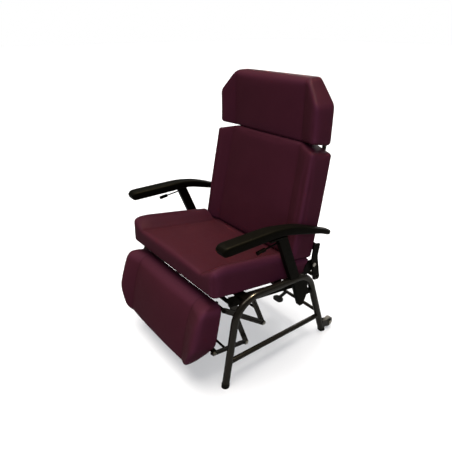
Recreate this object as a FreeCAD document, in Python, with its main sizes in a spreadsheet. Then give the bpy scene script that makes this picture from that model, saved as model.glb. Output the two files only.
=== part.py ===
import FreeCAD, Part
import os
import re
import Sketcher

# Reclining patient rest chair. Millimetres, +Z up, the chair faces -Y, +X is the sitter's left.
# Heights are taken from the floor and depths from the front feet. The frame "base" moves the
# whole chair back by origin_back, so that the origin lies under the middle of its outline.

SIZES = {
    # Tubular side frames
    "frame_half": 355, "tube_dia": 30, "tube_wall": 2, "bend_radius": 110, "front_corner_y": 60.5,
    "front_corner_z": 388, "rear_corner_y": 454, "rear_corner_z": 363, "rear_foot_y": 587,
    "origin_back": 271.6, "cap_dia": 33, "cap_height": 16, "cap_floor": 6, "stretcher_dia": 22,
    "stretcher_front_z": 117, "stretcher_rear_z": 102, "crossbar_dia": 16, "crossbar_z": 130,
    # Transport wheels and tread pedal
    "wheel_dia": 50, "wheel_width": 18, "wheel_y": 628, "wheel_z": 29, "axle_dia": 10, "fork_plate": 4,
    "fork_gap": 1.5, "fork_half": 10, "fork_round": 9, "fork_rise": 30, "tyre_bore": 36, "pedal_x": 157,
    "pedal_span": 52, "pedal_width": 36, "pedal_length": 74, "pedal_thick": 9, "pedal_drop": 14,
    "pedal_round": 16, "pedal_stem": 14,
    # Arm rests
    "arm_width": 60, "arm_lip": 2, "arm_thick": 40, "arm_top_z": 640, "arm_front_y": -17,
    "arm_corner_y": 310, "arm_tip_y": 575, "arm_tip_z": 537, "arm_tail": 6, "arm_bend": 600, "arm_under_bend": 432,
    "arm_nose": 14, "arm_rake": 7, "arm_plate": 6, "arm_plate_lead": 44, "arm_plate_heel": 6, "arm_plate_rim": 2,
    "arm_plate_round": 5, "upright_width": 47, "upright_thick": 22, "upright_top_y": 248,
    "upright_foot_y": 341, "upright_foot_width": 50, "gusset_lead": 8, "gusset_tip_y": 411,
    "gusset_tip_z": 225, "gusset_tip_width": 19, "gusset_round": 6, "gusset_rear_y": 440, "strut_z": 275,
    "strut_height": 13, "strut_length": 48,
    # Release levers under the arms
    "lever_pivot_y": 270, "lever_pivot_z": 578, "lever_length": 108, "lever_drop": 6, "slot_lead": 40, "lever_rod": 6.8,
    "lever_eye": 18, "lever_lap": 2, "lever_thick": 7, "lever_gap": 1, "grip_dia": 16, "grip_length": 38,
    "grip_end": 6,
    # Seat
    "seat_half": 311, "seat_foot": 235, "seat_front_y": -21, "seat_front_z": 398, "seat_tilt": 8.6,
    "seat_run": 519, "seat_roll_length": 410, "seat_lower": 38, "seat_depth": 120, "seat_recess": 34,
    "board_thick": 12, "board_inset": 26, "cross_width": 40, "cross_thick": 15, "cross_wall": 2,
    "cross_front_y": 120, "cross_rear_y": 400, "bar_gap": 1, "bar_thick": 6, "bar_height": 42,
    "bar_front_y": 46, "bar_rear_y": 440, "bar_lap": 3, "bar_round": 12, "lug_half": 22, "lug_round": 16,
    "lug_neck": 7, "lug_lead": 44, "lug_rise": 8, "lug_drop": 48, "stay_front_y": 110, "stay_rear_y": 300,
    "stay_width": 36, "stay_height": 15, "stay_drop": 3,
    # Footrest linkage pivots, seen from the side
    "crank_y": 64, "crank_z": 358, "guide_y": 174, "guide_z": 343, "knee_y": 241.9, "knee_z": 175.8,
    "elbow_y": 152, "elbow_z": 114.3, "crank_reach": 70.2, "lift_reach": 72.7, "foot_y": -11.4,
    "foot_z": 137, "link_width": 22, "link_thick": 5, "layer_gap": 1, "bolt_dia": 8, "bolt_head": 13,
    "head_thick": 5, "pivot_play": 0.1, "face_gap": 0.3, "tie_dia": 10, "push_tie_reach": 60,
    "crank_tube_dia": 18, "crank_arm": 45, "crank_arm_angle": 36, "crank_lug": 12, "crank_lug_lead": 20,
    "crank_lug_round": 9, "tie_wall": 2,
    # Back and its hinge
    "hinge_y": 518, "hinge_rise": 55.5, "hinge_dia": 12, "back_low_y": 400.7, "back_rise": 89.8,
    "back_lean": 10.1, "back_height": 457, "back_crown": 28, "back_half_low": 306, "back_half_top": 292,
    "back_foot_low": 232, "back_foot_top": 216, "back_depth": 110, "back_recess": 27, "back_tube_x": 250,
    "back_tube_dia": 22, "back_tube_wall": 1.8, "back_tube_low": 20, "back_tube_top": 6,
    "back_edge_run": 24, "arm_gap": 1.5, "lever_reach": 78, "lever_angle": 22.5, "lever_tube_dia": 20,
    "yoke_height": 34, "yoke_thick": 5, "yoke_low": 28, "hinge_arm_lip": 8, "hinge_arm_top": 8,
    "hinge_arm_elbow": 40, "hinge_arm_bend": 20, "hinge_arm_round": 12, "hinge_arm_corner": 8,
    # Head rest
    "head_gap": 32, "head_forward": 2.2, "head_height": 236, "head_half": 286, "head_top_half": 214,
    "head_foot": 212, "head_shoulder": 146, "head_depth": 98, "head_recess": 27,
    "post_low": 250, "post_top": 130, "post_bend": 60, "slide_play": 0.1, "bracket_width": 40,
    "bracket_low": 50, "bracket_high": 120,
    # Footrest pad
    "leg_low_y": -114.8, "leg_low_z": 98, "leg_lean": 11.3, "leg_height": 285, "leg_half": 291,
    "leg_low_half": 236, "leg_foot": 214, "leg_chamfer": 106, "leg_depth": 88,
    "leg_recess": 25, "leg_bevel_front": 287, "leg_bevel_rear": 243, "bevel_over": 20, "panel_low": 20,
    "panel_end": 8, "pivot_bar_dia": 14, "ear_thick": 6, "ear_inset": 8, "ear_half": 11, "ear_round": 9,
    "ear_length": 70, "ear_foot": 14, "flange_half": 12, "flange_thick": 5, "flange_lap": 40,
    # Gas springs
    "spring_dia": 26, "spring_length": 190, "rod_dia": 10, "spring_x": 70, "eye_play": 5, "eye_wall": 3,
    "eye_width": 16, "back_eye_drop": 3, "leg_eye_drop": 4.3, "rod_hidden": 86, "strap_width": 30,
    "strap_thick": 8, "strap_half": 18, "strap_round": 6, "strap_end": 4, "front_strap_reach": 48,
    "rear_strap_reach": 28,
    # Cushion outline
    "edge_inset": 12, "edge_run": 16, "crown": 8, "side_swell": 5, "roll_lift": 4, "roll_width": 14,
    "roll_radius": 30, "ridge_radius": 11, "side_radius": 45, "hem_radius": 8, "crown_radius": 2000,
}

doc = FreeCAD.newDocument("patient_rest_chair")
Vector = FreeCAD.Vector
WORDS = re.compile(r"\b(" + "|".join(SIZES) + r")\b")
SIDES = {"left": 1, "right": -1}
nodes = {}

# Places worked out from the sizes
SEAT_DROP = "tan(seat_tilt)"
RAIL_SLOPE = "((rear_corner_z - front_corner_z) / (rear_corner_y - front_corner_y))"


def seat_under(y):
    """Height of the seat's underside at a depth."""
    return f"(seat_front_z - {SEAT_DROP} * ({y} - seat_front_y))"


def rail_axis(y):
    """Height of the side rail's axis at a depth."""
    return f"(front_corner_z + {RAIL_SLOPE} * ({y} - front_corner_y))"


HINGE_Z = f"({seat_under('hinge_y')} + hinge_rise)"
BACK_LOW_Z = f"({seat_under('back_low_y')} + back_rise)"
HEAD_LOW_Z = f"({BACK_LOW_Z} + back_height * cos(back_lean) + head_gap)"
HEAD_FRONT_Y = "(back_low_y + back_height * sin(back_lean) + head_forward)"
CRANK_LENGTH = "sqrt((elbow_y - crank_y)^2 + (elbow_z - crank_z)^2)"
CROSS_Y = f"(crank_y + crank_reach * (elbow_y - crank_y) / {CRANK_LENGTH})"
CROSS_Z = f"(crank_z + crank_reach * (elbow_z - crank_z) / {CRANK_LENGTH})"
KNEE_LENGTH = f"sqrt((knee_y - {CROSS_Y})^2 + (knee_z - {CROSS_Z})^2)"
PIVOT_BAR_Y = f"({CROSS_Y} - lift_reach * (knee_y - {CROSS_Y}) / {KNEE_LENGTH})"
PIVOT_BAR_Z = f"({CROSS_Z} - lift_reach * (knee_z - {CROSS_Z}) / {KNEE_LENGTH})"
PIVOTS = {
    "crank": ("crank_y", "crank_z"), "guide": ("guide_y", "guide_z"), "knee": ("knee_y", "knee_z"),
    "elbow": ("elbow_y", "elbow_z"), "foot": ("foot_y", "foot_z"), "cross": (CROSS_Y, CROSS_Z),
    "bar": (PIVOT_BAR_Y, PIVOT_BAR_Z), "hinge": ("hinge_y", HINGE_Z),
    "crank_tube": ("(crank_y + crank_arm * sin(crank_arm_angle))",
                   "(crank_z - crank_arm * cos(crank_arm_angle))"),
    "lever_tube": ("(hinge_y + lever_reach * sin(lever_angle))",
                   f"({HINGE_Z} - lever_reach * cos(lever_angle))"),
}
REAR_LEAN = "((rear_foot_y - rear_corner_y) / rear_corner_z)"
BACK_TUBE_Y = "(back_depth + face_gap + back_tube_dia / 2)"
YOKE_Y = f"({BACK_TUBE_Y} + back_tube_dia / 2)"
HEAD_REAR = "(head_depth + board_thick)"
LEG_REAR = "(leg_depth + board_thick)"

# Layers across the chair, as the distance of each plate's inner face from the middle
BAR_IN = "(seat_half + bar_gap)"
LIFT_IN = f"({BAR_IN} - link_thick - layer_gap)"
CRANK_IN = f"({LIFT_IN} - link_thick - layer_gap)"
PUSH_IN = f"({CRANK_IN} - link_thick - layer_gap)"
BACK_ARM_IN = f"({BAR_IN} + bar_thick + arm_gap)"
UPRIGHT_IN = "(frame_half - upright_thick / 2)"

FRAMES = {
    "base": ("-origin_back", "0", "0"),
    "seat": ("seat_front_y - origin_back + seat_depth * sin(seat_tilt)",
             "seat_front_z + seat_depth * cos(seat_tilt)", "-90 - seat_tilt"),
    "seat_pad": ("seat_front_y - origin_back", "seat_front_z + seat_depth / cos(seat_tilt)", "-90"),
    "back": ("back_low_y - origin_back", BACK_LOW_Z, "-back_lean"),
    "head": (f"{HEAD_FRONT_Y} - origin_back", HEAD_LOW_Z, "0"),
    "leg": ("leg_low_y - origin_back", "leg_low_z", "-leg_lean"),
}


def ex(text):
    """The expression with every size read from the sheet."""
    return WORDS.sub(r"sizes.\1", str(text))


def value(text):
    """The number that an expression gives now."""
    return float(sheet.evalExpression(str(text)))


def make_sheet():
    """Puts each driving size in a cell with its name."""
    table = doc.addObject("Spreadsheet::Sheet", "sizes")
    for row, (name, number) in enumerate(SIZES.items(), 1):
        table.set(f"A{row}", name)
        table.set(f"B{row}", str(number))
        table.setAlias(f"B{row}", name)
    doc.recompute()
    return table


def set_frame(piece, frame):
    """Places a piece in one of the chair's frames."""
    y, z, angle = FRAMES[frame]
    piece.Placement = FreeCAD.Placement(Vector(), FreeCAD.Rotation(Vector(1, 0, 0), 10))
    piece.setExpression("Placement.Base.y", ex(y))
    piece.setExpression("Placement.Base.z", ex(z))
    piece.setExpression("Placement.Rotation.Angle", ex(angle))


def new_body(label, frame="base"):
    """An empty body in a frame."""
    body = doc.addObject("PartDesign::Body", label)
    set_frame(body, frame)
    return body


def pin(sketch, geometry, point, x, y):
    """Ties one sketch point to a place given by two expressions."""
    for kind, text in (("DistanceX", x), ("DistanceY", y)):
        index = sketch.addConstraint(Sketcher.Constraint(kind, -1, 1, geometry, point, value(text)))
        sketch.setExpression(f"Constraints[{index}]", ex(text))


def add_chain(sketch, points, closed):
    """Draws straight lines through points given as (x, y) or (x, y, corner radius)."""
    first = sketch.GeometryCount
    spots = [Vector(value(p[0]), value(p[1]), 0) for p in points]
    count = len(points) if closed else len(points) - 1
    for i in range(count):
        sketch.addGeometry(Part.LineSegment(spots[i], spots[(i + 1) % len(spots)]), False)
    for i in range(count if closed else count - 1):
        sketch.addConstraint(Sketcher.Constraint("Coincident", first + i, 2, first + (i + 1) % count, 1))
    for i in range(count):
        pin(sketch, first + i, 1, points[i][0], points[i][1])
    if not closed:
        pin(sketch, first + count - 1, 2, points[-1][0], points[-1][1])
    for i, point in enumerate(points):
        if len(point) == 3:
            before, after = first + (i - 1) % count, first + i
            middle_before = (spots[i - 1] + spots[i]) * 0.5
            middle_after = (spots[i] + spots[(i + 1) % len(spots)]) * 0.5
            arc = sketch.GeometryCount
            sketch.fillet(before, after, middle_before, middle_after, value(point[2]), True, True)
            index = sketch.addConstraint(Sketcher.Constraint("Radius", arc, value(point[2])))
            sketch.setExpression(f"Constraints[{index}]", ex(point[2]))


def add_circle(sketch, x, y, diameter):
    """Draws a circle about a point."""
    centre = Vector(value(x), value(y), 0)
    circle = sketch.addGeometry(Part.Circle(centre, Vector(0, 0, 1), value(diameter) / 2), False)
    pin(sketch, circle, 3, x, y)
    index = sketch.addConstraint(Sketcher.Constraint("Diameter", circle, value(diameter)))
    sketch.setExpression(f"Constraints[{index}]", ex(diameter))


def sketch_on(body, plane, offset="0"):
    """An empty sketch on one of the body's own planes, moved along the plane's normal."""
    sketch = body.newObject("Sketcher::SketchObject", body.Name + "_sketch")
    support = [item for item in body.Origin.OriginFeatures if item.Role == plane][0]
    sketch.AttachmentSupport = (support, [""])
    sketch.MapMode = "FlatFace"
    sketch.setExpression("AttachmentOffset.Base.z", ex(offset))
    return sketch


def pad(body, sketch, length, backward=False):
    """Raises a sketch into a solid."""
    feature = body.newObject("PartDesign::Pad", body.Name + "_pad")
    feature.Profile = sketch
    feature.setExpression("Length", ex(length))
    feature.Reversed = backward
    return feature


def side_plate(label, x, thickness, outline, holes=(), frame="base", side=1):
    """A plate in the side view, from x outwards, with round holes (y, z, diameter)."""
    body = new_body(label, frame)
    sketch = sketch_on(body, "YZ_Plane", x if side > 0 else f"-({x}) - ({thickness})")
    add_chain(sketch, outline, True)
    for y, z, diameter in holes:
        add_circle(sketch, y, z, diameter)
    pad(body, sketch, thickness)
    return body


def cross_round(label, x, length, y, z, diameter, bore=None, frame="base", side=1):
    """A round bar or tube that lies across the chair, from x outwards."""
    body = new_body(label, frame)
    sketch = sketch_on(body, "YZ_Plane", x if side > 0 else f"-({x}) - ({length})")
    add_circle(sketch, y, z, diameter)
    if bore:
        add_circle(sketch, y, z, bore)
    pad(body, sketch, length)
    return body


def upright_round(label, x, y, low, length, diameter, bore=None, frame="base"):
    """A round bar or tube along the frame's own height."""
    body = new_body(label, frame)
    sketch = sketch_on(body, "XY_Plane", low)
    add_circle(sketch, x, y, diameter)
    if bore:
        add_circle(sketch, x, y, bore)
    pad(body, sketch, length)
    return body


def along_round(label, x, z, rear, length, diameter, bore=None):
    """A round bar or tube along the chair's depth, from rear forwards."""
    body = new_body(label)
    sketch = sketch_on(body, "XZ_Plane", f"-({rear})")
    add_circle(sketch, x, z, diameter)
    if bore:
        add_circle(sketch, x, z, bore)
    pad(body, sketch, length)
    return body


def link(label, side, x, start, end, eyes):
    """A straight flat link between two pivots; eyes are (distance from start, hole diameter)."""
    (start_y, start_z), (end_y, end_z) = PIVOTS[start], PIVOTS[end]
    length = f"sqrt(({end_y} - {start_y})^2 + ({end_z} - {start_z})^2)"
    body = doc.addObject("PartDesign::Body", label)
    body.Placement = FreeCAD.Placement(Vector(), FreeCAD.Rotation(Vector(1, 0, 0), 10))
    body.setExpression("Placement.Base.y", ex(f"{start_y} - origin_back"))
    body.setExpression("Placement.Base.z", ex(start_z))
    body.setExpression("Placement.Rotation.Angle", ex(f"atan2({end_z} - {start_z}; {end_y} - {start_y})"))
    sketch = sketch_on(body, "YZ_Plane", x if side > 0 else f"-({x}) - link_thick")
    half, rounding = "link_width / 2", "0.48 * link_width"
    far = f"{length} + {half}"
    add_chain(sketch, [(f"-{half}", f"-{half}", rounding), (far, f"-{half}", rounding),
                       (far, half, rounding), (f"-{half}", half, rounding)], True)
    for distance, hole in eyes:
        add_circle(sketch, length if distance == "end" else distance, "0", hole)
    pad(body, sketch, "link_thick")
    return body


def bolt(label, side, x, length, pivot, diameter="bolt_dia", nut=True, frame="base"):
    """A hexagon bolt across the chair; its shank runs from x outwards and its head is outside."""
    y, z = PIVOTS[pivot] if isinstance(pivot, str) else pivot
    body = cross_round(label, x, length, y, z, diameter, frame=frame, side=side)
    flats = f"({diameter} + bolt_head - bolt_dia)"
    ends = [f"({x}) + ({length})"] + ([f"({x}) - head_thick"] if nut else [])
    for place in ends:
        sketch = sketch_on(body, "YZ_Plane", place if side > 0 else f"-({place}) - head_thick")
        corners = [(f"{y} + {flats} / sqrt(3) * cos({60 * i})", f"{z} + {flats} / sqrt(3) * sin({60 * i})")
                   for i in range(6)]
        add_chain(sketch, corners, True)
        pad(body, sketch, "head_thick")
    return body


def add_collar(body, side, x, length, centre):
    """A wider shoulder on a bolt's shank, which keeps a link at its distance."""
    sketch = sketch_on(body, "YZ_Plane", x if side > 0 else f"-({x}) - ({length})")
    add_circle(sketch, *centre, "bolt_head")
    pad(body, sketch, length)


def bent_tube(label, x, route, radius, diameter, wall=None):
    """A tube bent in the side view; without a wall it is a solid rod."""
    body = new_body(label)
    path = sketch_on(body, "YZ_Plane", x)
    inner = [(y, z, radius) for y, z in route[1:-1]]
    add_chain(path, [route[0]] + inner + [route[-1]], False)
    doc.recompute()
    ring = body.newObject("Sketcher::SketchObject", label + "_ring")
    ring.AttachmentSupport = (path, ["Edge1"])
    ring.MapMode = "NormalToEdge"
    add_circle(ring, "0", "0", diameter)
    if wall:
        add_circle(ring, "0", "0", f"{diameter} - 2 * {wall}")
    pipe = body.newObject("PartDesign::AdditivePipe", label + "_pipe")
    pipe.Profile = ring
    pipe.Spine = (path, [f"Edge{i + 1}" for i in range(len(path.Shape.Edges))])
    return body


def cut(label, base, tools):
    """A piece with other shapes taken away."""
    piece = base
    for tool in tools:
        result = doc.addObject("Part::Cut", label + "_cut")
        result.Base = piece
        result.Tool = tool
        piece = result
    return piece


def join(label, pieces):
    """Welded pieces as one solid."""
    result = doc.addObject("Part::MultiFuse", label + "_weld")
    result.Shapes = pieces
    return result


def group(label, pieces):
    """Like pieces, each its own solid, in one node."""
    result = doc.addObject("Part::Compound", label + "_group")
    result.Links = pieces
    return result


def keep(label, piece):
    """Names a finished sub-part, which is written to its own file."""
    piece.Label = label
    nodes[label] = piece
    return piece


def cushion_section(body, depth, slope, offset, half, foot, recess, inset, lower="0"):
    """One cross-section of an upholstered pad: swollen sides, raised side rolls and a crowned middle."""
    sketch = sketch_on(body, "XY_Plane", offset)
    width, drop = f"({half} - {inset})", f"({slope} * ({offset}))"
    top, rear = f"({drop} + {lower} + {inset})", f"({drop} + {depth})"
    right = [(foot, f"{recess} + {top}", "roll_radius"),
             (f"{width} - roll_width", f"{top} - roll_lift", "ridge_radius"),
             (width, f"({top} + {rear}) / 2", "side_radius"),
             (f"{width} - side_swell", rear, "hem_radius")]
    left = [(f"-({x})", y, radius) for x, y, radius in reversed(right)]
    add_chain(sketch, left + [("0", f"{recess} + {top} - crown", "crown_radius")] + right, True)
    return sketch


def cushion(label, frame, depth, stations, slope="0"):
    """A pad lofted through its cross-sections (height, half width, roll foot, recess, inset, lowering)."""
    body = new_body(label, frame)
    sections = [cushion_section(body, depth, slope, *station) for station in stations]
    loft = body.newObject("PartDesign::AdditiveLoft", label + "_loft")
    loft.Profile = sections[0]
    loft.Sections = sections[1:]
    loft.Ruled = True
    return body


def cut_corners(body, label, depth, inner, end, outer, start, over):
    """Cuts both corners of a pad's end, from a half width at the end to the full one further along."""
    doc.recompute()
    for sign in ("", "-"):
        sketch = sketch_on(body, "XZ_Plane", "bevel_over")
        corner = [(inner, end), (outer, start), (f"{outer} + bevel_over", start),
                  (f"{outer} + bevel_over", f"{end} + {over}"), (inner, f"{end} + {over}")]
        add_chain(sketch, [(f"{sign}({x})", z) for x, z in corner], True)
        pocket = body.newObject("PartDesign::Pocket", label)
        pocket.Profile = sketch
        pocket.setExpression("Length", ex(f"{depth} + 2 * bevel_over"))
        doc.recompute()


def board(label, frame, front, low, high, low_half, high_half):
    """The flat board that carries a pad."""
    body = new_body(label, frame)
    sketch = sketch_on(body, "XZ_Plane", f"-({front})")
    corners = [(f"-({low_half})", low), (low_half, low), (high_half, high), (f"-({high_half})", high)]
    add_chain(sketch, corners, True)
    pad(body, sketch, "board_thick", backward=True)
    return body


def side_frames():
    """Bent tube legs and rails, their rubber feet, stretchers and the rear crossbar."""
    cores = {}
    front = "front_corner_y * cap_floor / front_corner_z"
    rear = f"rear_foot_y - {REAR_LEAN} * cap_floor"
    route = [(front, "cap_floor"), ("front_corner_y", "front_corner_z"),
             ("rear_corner_y", "rear_corner_z"), (rear, "cap_floor")]
    caps = []
    for name, side in SIDES.items():
        x = f"{side} * frame_half"
        tube = bent_tube("side_frame_" + name, x, route, "bend_radius", "tube_dia", "tube_wall")
        keep("side_frame_" + name, tube)
        cores[name] = bent_tube("frame_core_" + name, x, route, "bend_radius", "tube_dia")
        for end, foot, angle in (("front", "0", "atan(front_corner_y / front_corner_z)"),
                                 ("rear", "rear_foot_y", f"-atan({REAR_LEAN})")):
            caps.append(foot_cap(f"foot_cap_{end}_{name}", x, foot, angle, cores[name]))
        stretcher = doc.addObject("Part::Cylinder", "stretcher_bar_" + name)
        front_y = "front_corner_y * stretcher_front_z / front_corner_z"
        rear_y = f"(rear_foot_y - {REAR_LEAN} * stretcher_rear_z)"
        run, fall = f"({rear_y} - {front_y})", "(stretcher_front_z - stretcher_rear_z)"
        stretcher.setExpression("Radius", ex("stretcher_dia / 2"))
        stretcher.setExpression("Height", ex(f"sqrt({run}^2 + {fall}^2)"))
        stretcher.Placement = FreeCAD.Placement(Vector(), FreeCAD.Rotation(Vector(1, 0, 0), 10))
        stretcher.setExpression("Placement.Base.x", ex(x))
        stretcher.setExpression("Placement.Base.y", ex(f"{front_y} - origin_back"))
        stretcher.setExpression("Placement.Base.z", ex("stretcher_front_z"))
        stretcher.setExpression("Placement.Rotation.Angle", ex(f"-90 deg - atan({fall} / {run})"))
        keep("stretcher_" + name, cut("stretcher_" + name, stretcher, [cores[name]]))
    keep("foot_caps", group("foot_caps", caps))
    crossbar = cross_round("crossbar_rod", "-frame_half", "2 * frame_half",
                           f"rear_foot_y - {REAR_LEAN} * crossbar_z", "crossbar_z", "crossbar_dia")
    keep("rear_crossbar", cut("rear_crossbar", crossbar, [cores["left"], cores["right"]]))
    return cores


def foot_cap(label, x, foot, angle, core):
    """A rubber cap on a leg's end, cut level with the floor and bored for the tube."""
    sleeve = doc.addObject("Part::Cylinder", label + "_sleeve")
    sleeve.setExpression("Radius", ex("cap_dia / 2"))
    sleeve.setExpression("Height", ex("cap_height + cap_dia / 2"))
    sleeve.Placement = FreeCAD.Placement(Vector(), FreeCAD.Rotation(Vector(1, 0, 0), 10))
    lean = f"tan({angle})"
    sleeve.setExpression("Placement.Base.x", ex(x))
    sleeve.setExpression("Placement.Base.y", ex(f"{foot} - origin_back - {lean} * cap_dia / 2"))
    sleeve.setExpression("Placement.Base.z", ex("-cap_dia / 2"))
    sleeve.setExpression("Placement.Rotation.Angle", ex(f"-({angle})"))
    floor = doc.addObject("Part::Box", label + "_floor")
    for axis, size in (("Length", "cap_dia * 2"), ("Width", "cap_dia * 3"), ("Height", "cap_dia")):
        floor.setExpression(axis, ex(size))
    floor.setExpression("Placement.Base.x", ex(f"{x} - cap_dia"))
    floor.setExpression("Placement.Base.y", ex(f"{foot} - origin_back - 1.5 * cap_dia"))
    floor.setExpression("Placement.Base.z", ex("-cap_dia"))
    return cut(label, sleeve, [floor, core])


def wheels(cores):
    """Two small wheels behind the rear feet, their forks and axles, and the tread pedal."""
    axles, forks = [], []
    cheek = "(wheel_width / 2 + fork_gap)"
    leg_y = f"(rear_foot_y - {REAR_LEAN} * wheel_z)"
    for name, side in SIDES.items():
        wheel_x = "frame_half - wheel_width / 2"
        hub = cross_round("wheel_hub_" + name, wheel_x, "wheel_width", "wheel_y", "wheel_z",
                          "tyre_bore", "axle_dia + 2 * pivot_play", side=side)
        tyre = cross_round("wheel_tyre_" + name, wheel_x, "wheel_width", "wheel_y", "wheel_z",
                           "wheel_dia", "tyre_bore", side=side)
        keep("wheel_" + name, group("wheel_" + name, [hub, tyre]))
        outline = [(leg_y, "wheel_z - fork_half"), ("wheel_y + fork_half", "wheel_z - fork_half", "fork_round"),
                   ("wheel_y + fork_half", "wheel_z + fork_half", "fork_round"), (leg_y, "wheel_z + fork_rise")]
        plates = [side_plate(f"fork_{name}_{i}", f"frame_half + {start}", "fork_plate", outline,
                             [("wheel_y", "wheel_z", "axle_dia")], side=side)
                  for i, start in enumerate((cheek, f"-{cheek} - fork_plate"))]
        cap_tool = doc.getObject(f"foot_cap_rear_{name}_sleeve")
        forks += [cut(plate.Name, plate, [cores[name], cap_tool]) for plate in plates]
        axles.append(bolt("axle_" + name, side, f"frame_half - {cheek} - fork_plate",
                          f"2 * ({cheek} + fork_plate)", ("wheel_y", "wheel_z"), "axle_dia"))
    keep("wheel_forks", group("wheel_forks", forks))
    keep("wheel_axles", group("wheel_axles", axles))
    bar_y = f"(rear_foot_y - {REAR_LEAN} * crossbar_z)"
    front = f"({bar_y} - pedal_length)"
    stem = side_plate("tread_stem", "pedal_x - pedal_stem / 2", "pedal_stem",
                      [(f"{front} + pedal_width / 2", "crossbar_z - pedal_drop - pedal_thick"),
                       (bar_y, "crossbar_z - pedal_thick / 2"), (bar_y, "crossbar_z + pedal_thick / 2"),
                       (f"{front} + pedal_width / 2", "crossbar_z - pedal_drop")])
    tread = new_body("tread_plate")
    oval = sketch_on(tread, "XY_Plane", "crossbar_z - pedal_drop - pedal_thick")
    left, right = "pedal_x - pedal_span / 2", "pedal_x + pedal_span / 2"
    add_chain(oval, [(left, front, "pedal_round"), (right, front, "pedal_round"),
                     (right, f"{front} + pedal_width", "pedal_round"),
                     (left, f"{front} + pedal_width", "pedal_round")], True)
    pad(tread, oval, "pedal_thick")
    pedal = join("tread_joined", [tread, stem])
    keep("tread_pedal", cut("tread_pedal", pedal, [doc.getObject("crossbar_rod")]))


def arm_rests(cores):
    """Arm pads on leaning uprights, the gussets below the rails and the release levers."""
    lever_bolts, plates = [], []
    under = "(arm_top_z - arm_thick)"
    plate_low = f"({under} - arm_plate)"
    heel_y = "(upright_foot_y + upright_foot_width)"
    gusset_y = "(upright_foot_y + gusset_lead)"
    strut_end = "gusset_rear_y + strut_length"
    strut_low, strut_high = "strut_z - strut_height / 2", "strut_z + strut_height / 2"
    inside = "(frame_half - lever_thick / 2)"
    slot_rear = "lever_pivot_y + lever_eye / 2 + lever_gap"
    slot_low, slot_high = (f"lever_pivot_z {sign} (lever_eye / 2 + lever_gap)" for sign in "-+")
    for name, side in SIDES.items():
        pad_x = f"{UPRIGHT_IN} + upright_thick + arm_lip - arm_width"
        outline = [("arm_front_y", "arm_top_z", "arm_nose"), ("arm_corner_y", "arm_top_z", "arm_bend"),
                   ("arm_tip_y", "arm_tip_z", "arm_tail"),
                   ("arm_tip_y - arm_thick / 2", "arm_tip_z - arm_thick / 4", "arm_tail"),
                   ("arm_corner_y - arm_thick / 2", under, "arm_under_bend"),
                   ("arm_front_y + arm_rake", under, "arm_nose")]
        keep("arm_pad_" + name, side_plate("arm_pad_" + name, pad_x, "arm_width", outline, side=side))
        lead, heel = "upright_top_y - arm_plate_lead", "upright_top_y + upright_width + arm_plate_heel"
        outline = [(lead, plate_low, "arm_plate_round"), (heel, plate_low, "arm_plate_round"),
                   (heel, under), (lead, under)]
        plate = side_plate("arm_plate_" + name, f"{UPRIGHT_IN} - arm_plate_rim",
                           "upright_thick + 2 * arm_plate_rim", outline, side=side)
        plates.append(cut("arm_plate_" + name, plate, [nodes["arm_pad_" + name]]))
        post = side_plate("upright_post_" + name, UPRIGHT_IN, "upright_thick",
                          [("upright_top_y", plate_low), ("upright_foot_y", rail_axis("upright_foot_y")),
                           (heel_y, rail_axis(heel_y)), ("upright_top_y + upright_width", plate_low)],
                          [("lever_pivot_y", "lever_pivot_z", "bolt_dia")], side=side)
        slot = side_plate("lever_slot_" + name, f"{inside} - lever_gap", "lever_thick + 2 * lever_gap",
                          [("lever_pivot_y - slot_lead", slot_low), (slot_rear, slot_low),
                           (slot_rear, slot_high), ("lever_pivot_y - slot_lead", slot_high)], side=side)
        keep("arm_upright_" + name, cut("arm_upright_" + name, post, [cores[name], slot]))
        gusset = side_plate("gusset_plate_" + name, UPRIGHT_IN, "upright_thick",
                            [(gusset_y, rail_axis(gusset_y)),
                             ("gusset_tip_y - gusset_tip_width / 2", "gusset_tip_z"),
                             ("gusset_tip_y + gusset_tip_width / 2", "gusset_tip_z", "gusset_round"),
                             ("gusset_rear_y", strut_low), (strut_end, strut_low), (strut_end, strut_high),
                             ("gusset_rear_y", strut_high),
                             ("gusset_rear_y", rail_axis("gusset_rear_y") + " - tube_dia / 3")], side=side)
        keep("arm_gusset_" + name, cut("arm_gusset_" + name, gusset, [cores[name]]))
        handle = [release_lever(name, side, inside), lever_grip(name, side, inside)]
        keep("release_lever_" + name, group("release_lever_" + name, handle))
        lever_bolts.append(bolt("lever_bolt_" + name, -side, f"-{UPRIGHT_IN} - upright_thick", "upright_thick",
                                ("lever_pivot_y", "lever_pivot_z"), nut=False))
    keep("arm_plates", group("arm_plates", plates))
    keep("lever_bolts", group("lever_bolts", lever_bolts))


def lever_frame(piece):
    """Places a piece so that its depth axis runs forwards along the lever."""
    piece.Placement = FreeCAD.Placement(Vector(), FreeCAD.Rotation(Vector(1, 0, 0), 10))
    piece.setExpression("Placement.Base.y", ex("lever_pivot_y - origin_back"))
    piece.setExpression("Placement.Base.z", ex("lever_pivot_z"))
    piece.setExpression("Placement.Rotation.Angle", ex("lever_drop"))


def release_lever(name, side, inside):
    """A bent-eye lever: a bored disc and a rod that runs forwards under the arm."""
    eye = doc.addObject("PartDesign::Body", "lever_eye_" + name)
    lever_frame(eye)
    disc = sketch_on(eye, "YZ_Plane", inside if side > 0 else f"-{inside} - lever_thick")
    add_circle(disc, "0", "0", "lever_eye")
    add_circle(disc, "0", "0", "bolt_dia + 2 * pivot_play")
    pad(eye, disc, "lever_thick")
    rod = sketch_on(eye, "XZ_Plane", "lever_eye / 2 - lever_lap")
    add_circle(rod, f"{side} * ({inside} + lever_thick / 2)", "0", "lever_rod")
    pad(eye, rod, "lever_length")
    return eye


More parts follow.
